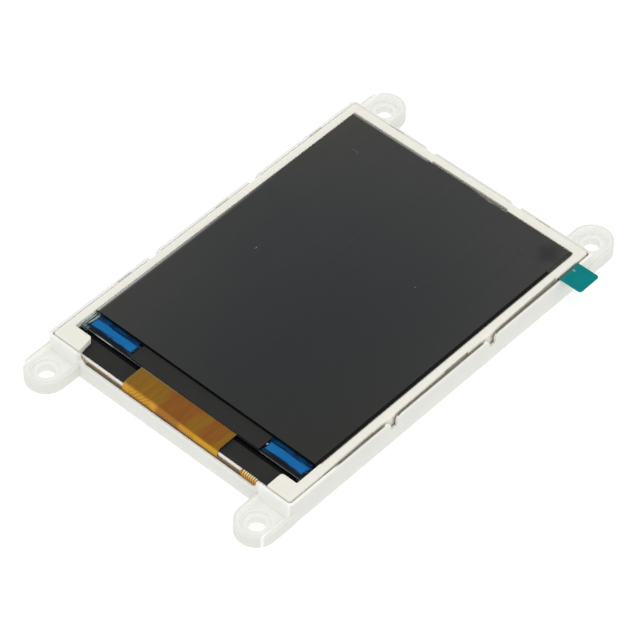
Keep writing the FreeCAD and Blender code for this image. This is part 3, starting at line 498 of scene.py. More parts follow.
def flexFinish():
    # olive with browner zones where more copper lies under it, a painted highlight over the fold, printed lines
    # across, painted shade beside the narrow part, at the right end and along the low edge
    look = flexLook
    mat, place = newFinish("amberFlex", look["olive"], 0.3, 0.12)
    x, y, z = axes(place)
    brown, dull, right, green, rim = (look[k] for k in ("brown", "dull", "brightRight", "green", "rim"))
    fold, fan, ribs, streaks = (look[k] for k in ("fold", "fan", "ribs", "streaks"))
    tone = look["olive"]
    wander = x + drawnNoise(mat, (0.3, 0.25, 0.25), 2) * brown["wander"]
    for span in brown["x"]:
        tone = mix(band(wander, *span, brown["soft"]), tone, brown["tone"])
    cloud = drawnNoise(mat, (1.4, 0.12, 0.12), 3, 0.3)
    tone = shaded(tone, ramp(cloud, *look["cloud"]))
    fade = slide(drawnNoise(mat, (0.5, 0.5, 0.5), 1), 0.3, 0.6, 0.15, 0.6)
    lines = stripes(place, **fan) * band(x, *fan["x"], 0.3) * fade
    lines = lines + stripes(place, **ribs) * band(x, *ribs["x"], 0.3) * ribs["share"]
    bright = mix(slide(x, *right["from"]), look["bright"], right["tone"])
    bright = mix(lines, mix(band(x, *dull["x"], dull["soft"]), bright, dull["tone"]), look["stripe"])
    tone = mix(stripes(place, **streaks) * streaks["share"], tone, streaks["tone"])
    tone = mix(slide(x, *green["from"]) * green["share"], tone, green["tone"])
    tone = mix(turnAt(z + slide(x, *fold["lift"]), fold["top"], -fold["soft"]), tone, bright)
    tone = mix(zone(place, rim["zone"]) * slide(x, *rim["along"]), tone, rim["tone"])
    tone = mix(1.0 - band(x, *look["narrow"], 0.05), tone, look["shade"])
    return paint(mat, washed(place, tone, look["washes"]), (lines * 0.5 + cloud, 0.012), (cloud, 0.24, 0.36))


tailLook = {"amber": (0.40, 0.17, 0.018), "shadow": (((("Z", 3.5, 3.2),), (0.10, 0.06, 0.02)),),
            "ribTop": (0.88, 0.74, 0.38), "ribLow": (0.62, 0.30, 0.055), "ribFrom": (4.72, 4.3)}


def tailFinish():
    # amber, in shadow at its low end
    mat, place = newFinish("tailFlex", tailLook["amber"], 0.32, 0.2)
    cloud = drawnNoise(mat, (2.0, 0.4, 0.4))
    tone = clouded(cloud, tailLook["amber"], 0.75)
    return paint(mat, washed(place, tone, tailLook["shadow"]), (cloud, 0.01))


def ribFinish():
    # painted light and shade: pale at the top of the bend, deeper amber below
    mat, place = newFinish("tailRib", tailLook["ribTop"], 0.35, 0.3)
    x, y, z = axes(place)
    worn = drawnNoise(mat, (2, 2, 2), 2)
    low = slide(z + worn * 0.3, *tailLook["ribFrom"])
    return paint(mat, mix(low, tailLook["ribTop"], tailLook["ribLow"]), (worn, 0.004))


def maskFinish():
    # solder mask: the weave of the laminate shows faintly through it
    green, bare, pitch = (0.012, 0.125, 0.050), (0.016, 0.085, 0.034), 0.6
    mat, place = newFinish("solderMask", green, 0.3, 0.5)
    cloud = noiseAt(place, 0.25, 4)
    weave = stripes(place, (1, 0, 0), pitch, 1.0) + stripes(place, (0, 1, 0), pitch, 1.0)
    tone = shaded(ramp(cloud, (0.35, bare), (0.6, green)), slide(weave, 0.0, 2.0, 0.93, 1.03, soft=False))
    return paint(mat, tone, (weave * 0.2 + cloud, 0.006), (cloud, 0.24, 0.36))


def tapeFinish():
    # matt black, darker beside the ledge with painted shadow
    front, worn = (0.030, 0.0296, 0.0275), (0.024, 0.0237, 0.022)
    ledgeShadow = (((("Y", -34.91, -34.79),), (0.002, 0.002, 0.0025)),)
    mat, place = newFinish("maskTape", front, 0.5, 0.05)
    waves = noiseAt(place, 0.25)
    tone = washed(place, ramp(waves, (0.3, worn), (0.7, front)), ledgeShadow)
    return paint(mat, tone, (waves, 0.02), (waves, 0.45, 0.55))


finishes = {
    "carrier": carrierFinish(), "cream": frameFinish(), "display": displayFinish(), "polariser": polariserFinish(),
    "glass": ledgeFinish(), "teal": tealFinish(), "tape": tapeFinish(), "flex": flexFinish(), "tail": tailFinish(),
    "tailRib": ribFinish(), "mask": maskFinish(),
    "whiteFilm": sheetFinish("whiteFilm", (0.9, 0.9, 0.9), 0.5),
    "clearFilm": sheetFinish("prismFilm", (0.75, 0.77, 0.78), 0.2),
    "acrylic": sheetFinish("guideAcrylic", (0.70, 0.74, 0.76), 0.1),
    "tin": metalFinish("tinPlate", (0.72, 0.72, 0.70), 0.3),
    "solder": metalFinish("solderJoint", (0.66, 0.66, 0.65), 0.24, (1, 1, 1), 3.0, 0.85),
    "steel": metalFinish("pressedSteel", (0.62, 0.62, 0.60), 0.3, (0.1, 2.5, 1), 2.0, 0.85),
    "gold": metalFinish("goldPlate", (0.83, 0.56, 0.22), 0.25),
}
coated = {
    "silicon": ("chipSilicon", (0.03, 0.03, 0.035), 0.15),
    "resin": ("blackResin", (0.014, 0.0138, 0.013), 0.42, 0.35, 0.02, 0.2),
    "ledBody": ("diodeWhite", (0.85, 0.85, 0.82), 0.4, 0.6, 0.01, 0.4, 0.95),
    "phosphor": ("phosphor", (0.85, 0.65, 0.05), 0.4),
    "adhesive": ("adhesiveFoam", (0.55, 0.52, 0.46), 0.7),
    "epoxy": ("chipEpoxy", (0.022, 0.022, 0.024), 0.55, 3.0, 0.006, 0.4),
    "ferrite": ("ferrite", (0.06, 0.06, 0.065), 0.7, 2.0, 0.02),
    "ceramic": ("tanCeramic", (0.36, 0.24, 0.13), 0.45, 2.0, 0.01),
    "yellow": ("yellowEpoxy", (0.62, 0.36, 0.03), 0.45, 2.0, 0.01),
    "blackPlastic": ("blackMoulded", (0.018, 0.018, 0.018), 0.45, 2.0, 0.008),
    "ivory": ("ivoryMoulded", (0.72, 0.66, 0.50), 0.45, 1.0, 0.008, 0.4, 0.93),
    "track": ("maskOverCopper", (0.022, 0.19, 0.075), 0.28, 0.5, 0.004, 0.5, 0.9),
    "print": ("whitePrint", (0.72, 0.73, 0.70), 0.5, 3.0, 0.004, 0.3, 0.9),
    "drill": ("drilledHole", (0.004, 0.004, 0.004), 0.8),
    "lint": ("lint", (0.36, 0.36, 0.35), 0.8),
}
for key, look in coated.items():
    finishes[key] = coatedFinish(*look)

dressing = {
    "carrier": "carrier_frame", "cream": "backlight_frame", "adhesive": "adhesive_pads",
    "whiteFilm": "reflector_film diffuser_film", "clearFilm": "lower_prism_film upper_prism_film",
    "acrylic": "light_guide", "ledBody": "backlight_leds", "phosphor": "led_phosphors", "tail": "led_flex",
    "tape": "rim_tape mask_tape", "polariser": "lower_polariser upper_polariser",
    "glass": "tft_glass colour_filter_glass", "display": "protective_film", "teal": "pull_tab",
    "silicon": "driver_chip", "resin": "ledge_sealant", "flex": "display_flex", "mask": "circuit_board",
    "epoxy": "graphics_processor memory_chip flash_chip power_chips resistor_bodies flyback_diode",
    "tin": "processor_leads memory_leads flash_leads power_leads passive_terminals cable_contacts "
           "cable_anchor_tabs",
    "steel": "crystal_can card_socket_shell", "ferrite": "power_inductor", "ceramic": "capacitor_bodies",
    "yellow": "bulk_capacitors", "blackPlastic": "card_socket_base cable_lock_flap",
    "gold": "card_socket_contacts", "ivory": "cable_housing",
}
for finish, nodes in dressing.items():
    for node in nodes.split():
        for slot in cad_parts[node].material_slots:
            slot.material = finishes[finish]
print("finishes set:", len(finishes))


# Meshes and objects

def meshFrom(bm, name, smooth=False):
    mesh = bpy.data.meshes.new(name)
    bm.to_mesh(mesh)
    bm.free()
    for face in mesh.polygons:
        face.use_smooth = smooth
    return mesh


def linked(name, data):
    thing = bpy.data.objects.new(name, data)
    bpy.context.scene.collection.objects.link(thing)
    return thing


# The blue sealant, brushed on the glass ledge

sealant = {
    "perLength": 10, "rows": 16, "slope": 1.7, "foot": 0.12, "crown": 0.8, "farSide": (0.18, 0.16),
    "jag": {"scale": (11, 4), "seed": 3.1, "perNode": 900, "end": 0.25, "rim": 0.1},
    "ragged": {"scale": 6, "seeds": (0.3, 5.7), "share": 0.12, "inward": 0.3},
    "bright": (0.004, 0.135, 0.375), "navy": (0.003, 0.026, 0.085), "thin": (0.0035, 0.006, 0.016),
    # gloss: painted sheen along the brush streaks
    "thread": (0.06, 0.13, 0.19), "gloss": ((0.3, (0.85, 0.86, 0.92)), (0.7, (1.3, 1.12, 1.05))),
    "fleck": {"x": (15.85, 16.25), "y": (-32.15, -31.75), "soft": 0.08, "share": 1.0, "tone": (0.75, 0.82, 0.84)},
    "endPull": {"blue_sealant_left": (0.5, -0.2), "blue_sealant_right": (-0.2, 0.5)},
}


def sealantFinish():
    # bright where it is thick, navy to black where it thins out, streaked along the brush's way, the streaks
    # lightened by painted gloss
    look = sealant
    mat, place = newFinish("blueSealant", look["bright"], 0.22, 0.08)
    rim = Value(addNode(mat.node_tree, "Attribute", attribute_name="rim").outputs["Fac"])
    brush = drawnNoise(mat, (0.22, 2.6, 1), 4)
    tone = ramp(rim + (brush - 0.5) * 0.9, (0.12, look["thin"]), (0.42, look["navy"]), (0.80, look["bright"]))
    thread = slide(drawnNoise(mat, (0.12, 5.0, 1), 2), 0.56, 0.64) * slide(rim, 0.5, 0.15)
    tone = patched(place, mix(thread * 0.5, tone, look["thread"]), look["fleck"])
    return paint(mat, shaded(tone, ramp(brush, *look["gloss"])), (brush, 0.02))


def sealantPiece(node, finish):
    # a crowned strip with a ragged outline, where the CAD solid lies; rim is 0 at its edge and 1 inside
    look = sealant
    low, high = corners(node)
    centre, half = (low + high) / 2, (high - low) / 2
    columns, rows = int((high.x - low.x) / mm * look["perLength"]), look["rows"]
    pullLeft, pullRight = look["endPull"][node]
    jagged, ragged, (tilt, lip) = look["jag"], look["ragged"], look["farSide"]
    bm = bmesh.new()
    rimLayer = bm.verts.layers.float.new("rim")
    grid = []
    for i in range(columns + 1):
        u = i / columns * 2 - 1
        line = []
        for j in range(rows + 1):
            v = j / rows * 2 - 1
            jag = noise.noise(Vector((u * jagged["scale"][0], v * jagged["scale"][1],
                                      jagged["seed"] + low.x * jagged["perNode"])))
            slant = (pullLeft * max(0, -u) ** 4 * (1 + v) - pullRight * max(0, u) ** 4 * (1 - v)) * 0.5 * mm
            drift = noise.noise(Vector((u * ragged["scale"], ragged["seeds"][v <= 0], 1)))
            side = 1 + ragged["share"] * (drift - ragged["inward"])
            edge = min(1.0, (1 - abs(v)) * look["slope"],
                       (1 - abs(u)) * half.x / half.y * look["slope"] + jag * jagged["rim"])
            inside = max(0.0, edge) ** 2 * (3 - 2 * max(0.0, edge))
            vert = bm.verts.new((centre.x + u * half.x + slant + jag * jagged["end"] * mm * abs(u) ** 6,
                                 centre.y + v * half.y * side,
                                 low.z + (high.z - low.z) * (look["foot"] + look["crown"] * inside)))
            vert[rimLayer] = max(0.0, inside + jag * jagged["rim"] + tilt * v + lip * max(0, v) ** 3)
            line.append(vert)
        grid.append(line)
    for i in range(columns):
        for j in range(rows):
            bm.faces.new((grid[i][j], grid[i + 1][j], grid[i + 1][j + 1], grid[i][j + 1]))
    skirt = bmesh.ops.extrude_edge_only(bm, edges=[e for e in bm.edges if e.is_boundary])["geom"]
    for v in (g for g in skirt if isinstance(g, bmesh.types.BMVert)):
        v.co.z = low.z
        v[rimLayer] = 0
    bmesh.ops.holes_fill(bm, edges=[e for e in bm.edges if e.is_boundary], sides=0)
    bmesh.ops.recalc_face_normals(bm, faces=bm.faces[:])
    mesh = meshFrom(bm, node + "_brushed", smooth=True)
    mesh.materials.append(finish)
    piece = linked(mesh.name, mesh)
    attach(piece, "module")
    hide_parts(node)


blueSealant = sealantFinish()
for node in sealant["endPull"]:
    sealantPiece(node, blueSealant)
print("blue sealant brushed on")


# Trees for what repeats or follows a path

def newTree(name, **inputs):
    # a tree that takes and gives geometry, with named inputs
    tree = bpy.data.node_groups.new(name, "GeometryNodeTree")
    sockets = tree.interface
    for label, kind in {"Geometry": "Geometry", **inputs, "Finish": "Material"}.items():
        sockets.new_socket(label, in_out="INPUT", socket_type="NodeSocket" + kind)
    sockets.new_socket("Geometry", in_out="OUTPUT", socket_type="NodeSocketGeometry")
    return tree, tree.nodes.new("NodeGroupInput").outputs


def step(tree, kind, settings=None, **links):
    # a node; each link is another node's first output, an output, or a plain value
    node = tree.nodes.new(kind if "Node" in kind else "GeometryNode" + kind)
    for key, value in (settings or {}).items():
        setattr(node, key, value)
    for label, value in links.items():
        socket = node.inputs[label.replace("_", " ")]
        if isinstance(value, bpy.types.Node):
            value = value.outputs[0]
        if isinstance(value, bpy.types.NodeSocket):
            tree.links.new(value, socket)
        else:
            socket.default_value = value
    return node


def swept(tree, curve, width, height):
    section = step(tree, "CurvePrimitiveQuadrilateral", Width=width, Height=height)
    return step(tree, "CurveToMesh", Curve=curve, Profile_Curve=section, Fill_Caps=True)


def endTree(tree, geometry, given):
    whole = step(tree, "RealizeInstances", Geometry=geometry)
    dressed = step(tree, "SetMaterial", Geometry=whole, Material=given["Finish"])
    step(tree, "NodeGroupOutput", Geometry=dressed)
    return tree


def barsTree():
    # flat bars along the edges of a mesh, with rounded turns
    tree, given = newTree("barsAlongPaths", Width="Float", Thickness="Float", Turn="Float")
    path = step(tree, "MeshToCurve", Mesh=given["Geometry"])
    eased = step(tree, "FilletCurve", {"mode": "POLY"}, Curve=path, Radius=given["Turn"], Count=2,
                 Limit_Radius=True)
    level = step(tree, "SetCurveNormal", {"mode": "Z_UP"}, Curve=eased)
    return endTree(tree, swept(tree, level, given["Width"], given["Thickness"]), given)


def placesTree():
    # one shape on every point, sized and turned by the point's own values
    tree, given = newTree("shapeOnPlaces", Shape="Object")
    shape = step(tree, "ObjectInfo", Object=given["Shape"])
    size = step(tree, "InputNamedAttribute", {"data_type": "FLOAT_VECTOR"}, Name="size")
    placed = step(tree, "InstanceOnPoints", Points=given["Geometry"], Instance=shape.outputs["Geometry"],
                  Scale=size.outputs["Attribute"])
    return endTree(tree, placed, given)


def ribsTree():
    # a row of equal ribs across a strip, each following the same path
    tree, given = newTree("ribRow", Count="Int", Pitch="Float", Width="Float", Height="Float")
    path = step(tree, "MeshToCurve", Mesh=given["Geometry"])
    rib = swept(tree, path, given["Width"], given["Height"])
    offset = step(tree, "ShaderNodeCombineXYZ", X=given["Pitch"])
    row = step(tree, "MeshLine", Count=given["Count"], Offset=offset)
    return endTree(tree, step(tree, "InstanceOnPoints", Points=row, Instance=rib), given)


def lintTree():
    # specks scattered on a surface
    tree, given = newTree("scatteredLint", Shape="Object", Density="Float", Seed="Int", Smallest="Float",
                          Largest="Float")
    points = step(tree, "DistributePointsOnFaces", Mesh=given["Geometry"], Density=given["Density"],
                  Seed=given["Seed"])
    shape = step(tree, "ObjectInfo", Object=given["Shape"])
    turn, size = (step(tree, "FunctionNodeRandomValue", {"data_type": "FLOAT"}, Seed=given["Seed"], **ends)
                  for ends in ({"Max": 6.28}, {"Min": given["Smallest"], "Max": given["Largest"]}))
    upright = step(tree, "ShaderNodeCombineXYZ", Z=turn.outputs["Value"])
    placed = step(tree, "InstanceOnPoints", Points=points, Instance=shape.outputs["Geometry"], Rotation=upright,
                  Scale=size.outputs["Value"])
    return endTree(tree, placed, given)


bars, onPlaces, ribRow, scattered = barsTree(), placesTree(), ribsTree(), lintTree()


def grow(base, tree, name, slot, finish, **values):
    # runs a tree on a base mesh and keeps the plain mesh that it makes
    piece = linked(name, base)
    growth = piece.modifiers.new("growth", "NODES")
    growth.node_group = tree
    values["Finish"] = finishes[finish]
    for item in tree.interface.items_tree:
        if item.in_out == "INPUT" and item.name in values:
            growth[item.identifier] = values[item.name]
    made = bpy.data.meshes.new_from_object(piece.evaluated_get(bpy.context.evaluated_depsgraph_get()))
    piece.modifiers.remove(growth)
    piece.data = made
    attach(piece, "module")
    print(name, len(made.polygons), "faces")


def pathMesh(paths):
    # lines of points, in millimetres, as a mesh of edges
    bm = bmesh.new()
    for points in paths:
        verts = [bm.verts.new(Vector(p) * mm) for p in points]
        for a, b in zip(verts, verts[1:]):
            bm.edges.new((a, b))
    return meshFrom(bm, "paths")


def growBars(paths, name, slot, width, thickness, turn, finish):
    grow(pathMesh(paths), bars, name, slot, finish, Width=width * mm, Thickness=thickness * mm, Turn=turn * mm)


def growShapes(places, shape, name, slot, finish):
    # places are (point, size), in millimetres
    mesh = bpy.data.meshes.new("places")
    mesh.from_pydata([Vector(p) * mm for p, size in places], [], [])
    sizes = mesh.attributes.new("size", "FLOAT_VECTOR", "POINT").data
    for place, (p, size) in zip(sizes, places):
        place.vector = size
    grow(mesh, onPlaces, name, slot, finish, Shape=shape)


def turnedShape(name, rings, sides, corner=0.0):
    # stacked rings of (radius, height below z = 0) in millimetres; corner 1 makes them square
    bm = bmesh.new()
    loops = []
    for radius, height in rings:
        loop = []
        for k in range(sides):
            a = 2 * math.pi * (k + 0.5) / sides
            reach = radius * mm * (1 + corner * (1 / max(abs(math.cos(a)), abs(math.sin(a))) - 1))
            loop.append(bm.verts.new((reach * math.cos(a), reach * math.sin(a), -height * mm)))
        loops.append(loop)
    for low, high in zip(loops, loops[1:]):
        for k in range(sides):
            bm.faces.new((low[k], low[(k + 1) % sides], high[(k + 1) % sides], high[k]))
    bm.faces.new(loops[0])
    bm.faces.new(loops[-1])
    bmesh.ops.recalc_face_normals(bm, faces=bm.faces[:])
    return bpy.data.objects.new(name, meshFrom(bm, name, smooth=True))


# The ribbed tail of the backlight's flex

tail = {"count": 7, "pitch": 0.463, "first": 17.05, "width": 0.25, "height": 0.07, "back": 0.25, "drop": 1.3,
        "bend": 0.51, "steps": 6}


def tailRibs():
    # each rib lies on the strip, goes round its bend and down its front
    low, high = (c / mm for c in corners("led_flex"))
    x, y, z, r = tail["first"], low.y, high.z, tail["bend"]
    turns = [math.pi / 2 * k / tail["steps"] for k in range(tail["steps"] + 1)]
    path = [(x, y + r + tail["back"], z), *((x, y + r - r * math.sin(a), z - r + r * math.cos(a)) for a in turns),
            (x, y, z - tail["drop"])]
    grow(pathMesh([path]), ribRow, "tail_ribs", "gold_flex", "tailRib", Count=tail["count"],
         Pitch=tail["pitch"] * mm, Width=tail["width"] * mm, Height=tail["height"] * mm)


tailRibs()


# A few fibres and specks of dust on the film

lint = {
    "seed": 11, "size": (0.02, 0.055), "density": 0.008, "fibre": 0.026, "flat": 0.0156, "turn": 0.3,
    "lift": 0.008, "speck": ((0.3, 0.2), (0.5, 0.0), (0.3, -0.25)),
    "fibres": (
        ((-19.86, 29.43), (-19.5, 29.62), (-19.0, 29.55), (-18.6, 29.36), (-18.42, 29.19)),
        ((-16.0, -0.72), (-15.86, -0.45), (-15.9, -0.15)), ((-15.93, -0.78), (-15.8, -0.5), (-15.84, -0.2)),
        ((-15.86, -0.74), (-15.74, -0.52), (-15.78, -0.25)),
        ((10.9, 11.5), (11.0, 11.6), (11.12, 11.68)), ((10.95, 11.46), (11.08, 11.54), (11.14, 11.62)),
    ),
}


def addLint():
    low, high = corners("protective_film")
    field = bpy.data.meshes.new("field")
    turns = ((low.x, low.y), (high.x, low.y), (high.x, high.y), (low.x, high.y))
    field.from_pydata([(x, y, high.z) for x, y in turns], [], [(0, 1, 2, 3)])
    speck = turnedShape("speck", lint["speck"], 6)
    grow(field, scattered, "film_dust", "white_film", "lint", Shape=speck, Density=lint["density"] / mm ** 2,
         Seed=lint["seed"], Smallest=lint["size"][0], Largest=lint["size"][1])
    bpy.data.objects.remove(speck)
    top = high.z / mm + lint["lift"]
    growBars([[(x, y, top) for x, y in fibre] for fibre in lint["fibres"]], "film_fibres", "white_film",
             lint["fibre"], lint["flat"], lint["turn"], "lint")


addLint()


# What is printed, plated and soldered on the board's underside, in millimetres

board = {
    "track": 0.18, "copper": 0.05, "copperSink": 0.015, "turn": 0.25, "print": 0.14, "ink": 0.02, "inkSink": 0.005,
    "via": 0.62, "edgeInset": 0.75, "frontInset": 4.2, "edgePitch": 3.4, "cardSpan": (-7.5, 9.5), "plugHalf": 10,
    "fanOut": 0.65, "fanStep": 0.6, "spread": 0.32, "fanEnd": 0.35,
    "joint": {"back": 0.08, "longer": 0.3, "wider": 0.12, "height": 0.10},
    "chips": (("processor_leads", "graphics_processor", 0.45), ("memory_leads", "memory_chip", 0.45),
              ("flash_leads", "flash_chip", 0.45), ("power_leads", "power_chips", 0.4)),
    "buses": (
        {"count": 20, "pitch": 0.5, "start": (-1.2, -34.4), "bends": ((-1.2, -12.5), (1.0, -10.3), (1.0, -8.2))},
        {"count": 22, "pitch": 0.5, "start": (-5.25, 31.4), "bends": ((-5.25, 24.0), (0.6, 18.15), (0.6, 14.6))},
    ),
    "busJog": 0.41, "busStagger": 0.75,
    "pads": {"passive_terminals": (0.28, 0.12), "cable_anchor_tabs": (0.5, 0.10)},
    "cableJoint": {"in": 0.25, "size": (0.34, 0.9, 0.08)},
    "card": {"in": 0.1, "size": (0.9, 0.8, 0.10), "lead": 1.2, "squeeze": 0.5, "shift": -0.6, "end": -4.6,
             "via": 0.7},
    "outlineGaps": {"graphics_processor": -0.35, "memory_chip": -0.35, "flash_chip": -0.35, "power_chips": -0.35,
                    "crystal_can": 0.3, "power_inductor": 0.3, "bulk_capacitors": 0.3, "flyback_diode": 0.3,
                    "card_socket_shell": 0.35, "cable_housing": 0.3},
    "outlineCut": 0.5,
    "testPads": [(-2.0 + 1.6 * i, -30.6) for i in range(6)], "testPadSize": (1.0, 1.0, 0.05),
}
shapes = {
    "ring": (((0.5, -0.01), (0.5, 0.03), (0.40, 0.05), (0.26, 0.05), (0.26, -0.01)), 12),
    "hole": (((0.25, -0.01), (0.25, 0.035)), 10),
    "joint": (((0.5, -0.02), (0.5, 0.25), (0.44, 0.7), (0.30, 1.0)), 8, 0.75),
    "disc": (((0.5, -0.02), (0.5, 0.8), (0.46, 1.0)), 16),
}
boardLow, boardHigh = (c / mm for c in corners("circuit_board"))
under = boardLow.z
tracks, vias, solder, outlines = [], [], [], []


def islands(node):
    # the box of each loose solid of a CAD node, in millimetres
    bm = bmesh.new()
    bm.from_mesh(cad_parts[node].data)
    bmesh.ops.remove_doubles(bm, verts=bm.verts, dist=1e-7)
    left, boxes = set(bm.verts), []
    while left:
        piece = [left.pop()]
        for vert in piece:
            near = {edge.other_vert(vert) for edge in vert.link_edges} & left
            left -= near
            piece += near
        boxes.append(tuple(Vector([pick(v.co[i] for v in piece) for i in range(3)]) / mm for pick in (min, max)))
    bm.free()
    return sorted(boxes, key=lambda b: (round(b[0].x, 3), round(b[0].y, 3)))


def middle(box):
    return (box[0] + box[1]) / 2


def endOf(lead, owner):
    # the middle of a lead's outer end, the way it points from the body that it serves, and its width
    gap, half, reach = middle(lead) - middle(owner), (owner[1] - owner[0]) / 2, (lead[1] - lead[0]) / 2
    way, width = Vector((0, math.copysign(1, gap.y), 0)), 2 * reach.x
    if abs(gap.x) - half.x > abs(gap.y) - half.y:
        way, width = Vector((math.copysign(1, gap.x), 0, 0)), 2 * reach.y
    foot = middle(lead) + way * abs(way.dot(reach))
    return Vector((foot.x, foot.y, under)), way, width


def addVia(x, y, size=1.0):
    vias.append(((x, y, under), (board["via"] * size, board["via"] * size, 1)))


def fanOut(leads, bodies, footLength):
    # a solder joint under every lead, and a track from it to a via, spreading away from the middle
    look, sides, owners = board["joint"], {}, islands(bodies)
    for lead in islands(leads):
        owner = min(owners, key=lambda b: (middle(b) - middle(lead)).length)
        foot, way, width = endOf(lead, owner)
        spans = (footLength + look["longer"], width + look["wider"])
        solder.append((foot - way * (footLength / 2 - look["back"]),
                       (*(spans if way.x else spans[::-1]), look["height"])))
        sides.setdefault((round(middle(owner).x, 2), round(middle(owner).y, 2), way.x, way.y), []).append(foot)
    for (cx, cy, wx, wy), feet in sides.items():
        way, along = Vector((wx, wy, 0)), Vector((abs(wy), abs(wx), 0))
        for i, foot in enumerate(sorted(feet, key=lambda f: f.dot(along))):
            shift = (foot - Vector((cx, cy, 0))).dot(along) * board["spread"]
            first = foot + way * (board["fanOut"] + board["fanStep"] * (i % 2))
            second = first + way * abs(shift) + along * shift
            last = second + way * board["fanEnd"]
            tracks.append([foot, first, second, last])
            addVia(last.x, last.y)


def addBus(bus):
    # parallel tracks with 45 degree jogs, each ending in a via, in a staggered row
    (x0, y0), bends = bus["start"], bus["bends"]
    heading = 1 if bends[-1][1] > y0 else -1
    for i in range(bus["count"]):
        shift = i * bus["pitch"]
        jog = heading * shift * board["busJog"] * (-1 if bends[1][0] > bends[0][0] else 1)
        lifts = (jog, jog, heading * board["busStagger"] * (i % 3))
        turns = [(x + shift, y + lift, under) for (x, y), lift in zip(bends, lifts)]
        tracks.append([(x0 + shift, y0, under), *turns])
        addVia(*turns[-1][:2])


def addSockets():
    # joints under the cable contacts, and under the card contacts with a track from each
    cable, card = board["cableJoint"], board["card"]
    for box in islands("cable_contacts"):
        solder.append(((middle(box).x, box[0].y + cable["in"], under), cable["size"]))
    for box in islands("card_socket_contacts"):
        tip = Vector((box[1].x, middle(box).y, under))
        lane = tip.y * card["squeeze"] + card["shift"]
        solder.append(((tip.x - card["in"], tip.y, under), card["size"]))
        tracks.append([tip, tip + Vector((card["lead"], 0, 0)),
                       (tip.x + card["lead"] + abs(lane - tip.y), lane, under), (card["end"], lane, under)])
        addVia(card["end"], lane, card["via"])


def edgeVias():
    # a row along both long edges and the far one, clear of the card socket and the cable housing
    pitch, inset = board["edgePitch"], board["edgeInset"]
    (cardLow, cardHigh), plug = board["cardSpan"], board["plugHalf"]
    x0, x1 = boardLow.x + inset, boardHigh.x - inset
    y0, y1 = boardLow.y + board["frontInset"], boardHigh.y - inset
    for y in (y0 + k * pitch for k in range(int((y1 - y0) / pitch) + 1)):
        for x in (x0, x1):
            if not (x < 0 and cardLow < y < cardHigh):
                addVia(x, y)
    for x in (x0 + k * pitch for k in range(1, int((x1 - x0) / pitch))):
        if abs(x) > plug:
            addVia(x, y1)


def addOutline(box, gap):
    # a printed rectangle with its first corner cut
    low, high, cut = box[0] - Vector((gap, gap, 0)), box[1] + Vector((gap, gap, 0)), board["outlineCut"]
    start = (low.x, low.y + cut)
    turns = (start, (low.x, high.y), (high.x, high.y), (high.x, low.y), (low.x + cut, low.y), start)
    outlines.append([(x, y, under) for x, y in turns])


def lowered(paths, sink):
    return [[Vector(p) - Vector((0, 0, sink)) for p in path] for path in paths]


for chip in board["chips"]:
    fanOut(*chip)
for bus in board["buses"]:
    addBus(bus)
for node, (wider, height) in board["pads"].items():
    for box in islands(node):
        size = box[1] - box[0]
        solder.append(((middle(box).x, middle(box).y, under), (size.x + wider, size.y + wider, height)))
addSockets()
edgeVias()
for node, gap in board["outlineGaps"].items():
    for box in islands(node):
        addOutline(box, gap)

growBars(lowered(tracks, board["copperSink"]), "board_tracks", "board_green", board["track"], board["copper"],
         board["turn"], "track")
growBars(lowered(outlines, board["inkSink"]), "board_print", "board_green", board["print"], board["ink"], 0.0,
         "print")
for places, shape, name, slot, finish in (
        (vias, "ring", "board_vias", "tinned_metal", "solder"),
        (vias, "hole", "via_holes", "chip_epoxy", "drill"),
        (solder, "joint", "solder_joints", "tinned_metal", "solder"),
        ([((*at, under), board["testPadSize"]) for at in board["testPads"]], "disc", "test_pads", "tinned_metal",
         "gold")):
    base = turnedShape(shape, *shapes[shape])
    growShapes(places, base, name, slot, finish)
    bpy.data.objects.remove(base)


# Stage: floor, light and camera

stage = {"floorSize": 6.0, "floorDrop": 0.05, "floorTone": 0.86, "floorGlow": 0.34,
         "skyLight": 0.93, "keyPower": 1.3, "keySize": 1.2, "keyPlace": (0.5, -0.6, 1.0)}


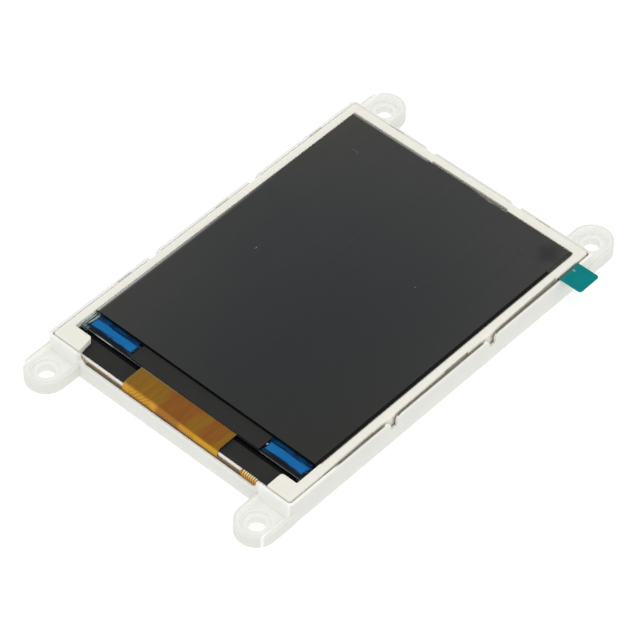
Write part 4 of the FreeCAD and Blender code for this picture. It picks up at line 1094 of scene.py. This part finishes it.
def makeFloor():
    # seen by the camera from above only, so that it lights nothing from below
    bpy.ops.mesh.primitive_plane_add(size=stage["floorSize"], location=(0, 0, -stage["floorDrop"] * mm))
    floor = bpy.context.object
    floor.name = "floor"
    mat = bpy.data.materials.new("floorWhite")
    mat.use_nodes = True
    tree = mat.node_tree
    tree.nodes.clear()
    diffuse = newValue(tree, "BsdfDiffuse", stage["floorTone"])
    white = newValue(tree, "AddShader", diffuse, newValue(tree, "Emission", Strength=stage["floorGlow"]))
    front = 1.0 - Value(addNode(tree, "NewGeometry").outputs["Backfacing"])
    seen = Value(addNode(tree, "LightPath").outputs["Is Camera Ray"]) * front
    addNode(tree, "OutputMaterial", newValue(tree, "MixShader", seen, newValue(tree, "BsdfTransparent"), white))
    floor.data.materials.append(mat)


def makeLight():
    # an even white room; what is seen or mirrored of it is plain white
    world = bpy.data.worlds.new("studio")
    world.use_nodes = True
    bpy.context.scene.world = world
    tree = world.node_tree
    tree.nodes.clear()
    rays = addNode(tree, "LightPath").outputs
    seen = sum(Value(rays["Is %s Ray" % kind]) for kind in ("Camera", "Glossy", "Transmission"))
    strength = slide(seen, 0.0, 1.0, stage["skyLight"], 1.0, soft=False)
    addNode(tree, "OutputWorld", newValue(tree, "Background", (1.0, 1.0, 1.0), strength))
    data = bpy.data.lights.new("key", "AREA")
    data.energy = stage["keyPower"]
    data.size = stage["keySize"]
    key = linked("key", data)
    key.location = stage["keyPlace"]
    key.rotation_mode = "QUATERNION"
    key.rotation_quaternion = (-key.location).to_track_quat("-Z", "Y")


camera = {"azimuth": 41.539, "elevation": 47.613, "roll": 1.102, "distance": 0.619526,
          "target": (0.57 * mm, -1.62 * mm, 0), "focalPixels": 3527.78, "framePixels": 640, "sensor": 36,
          "clip": (0.01, 20)}


def makeCamera():
    look = camera
    az, el, roll = (math.radians(look[k]) for k in ("azimuth", "elevation", "roll"))
    back = Vector((math.sin(az) * math.cos(el), -math.cos(az) * math.cos(el), math.sin(el)))
    right = Vector((math.cos(az), math.sin(az), 0))
    up = back.cross(right)
    x = right * math.cos(roll) + up * math.sin(roll)
    y = up * math.cos(roll) - right * math.sin(roll)
    data = bpy.data.cameras.new("camera")
    data.sensor_width = look["sensor"]
    data.lens = look["focalPixels"] / look["framePixels"] * look["sensor"]
    data.clip_start, data.clip_end = look["clip"]
    cam = linked("camera", data)
    cam.matrix_world = (Matrix.Translation(Vector(look["target"]) + back * look["distance"])
                        @ Matrix((x, y, back)).transposed().to_4x4())
    bpy.context.scene.camera = cam


makeFloor()
makeLight()
makeCamera()
bpy.context.scene.view_settings.view_transform = "Standard"
print("stage set")
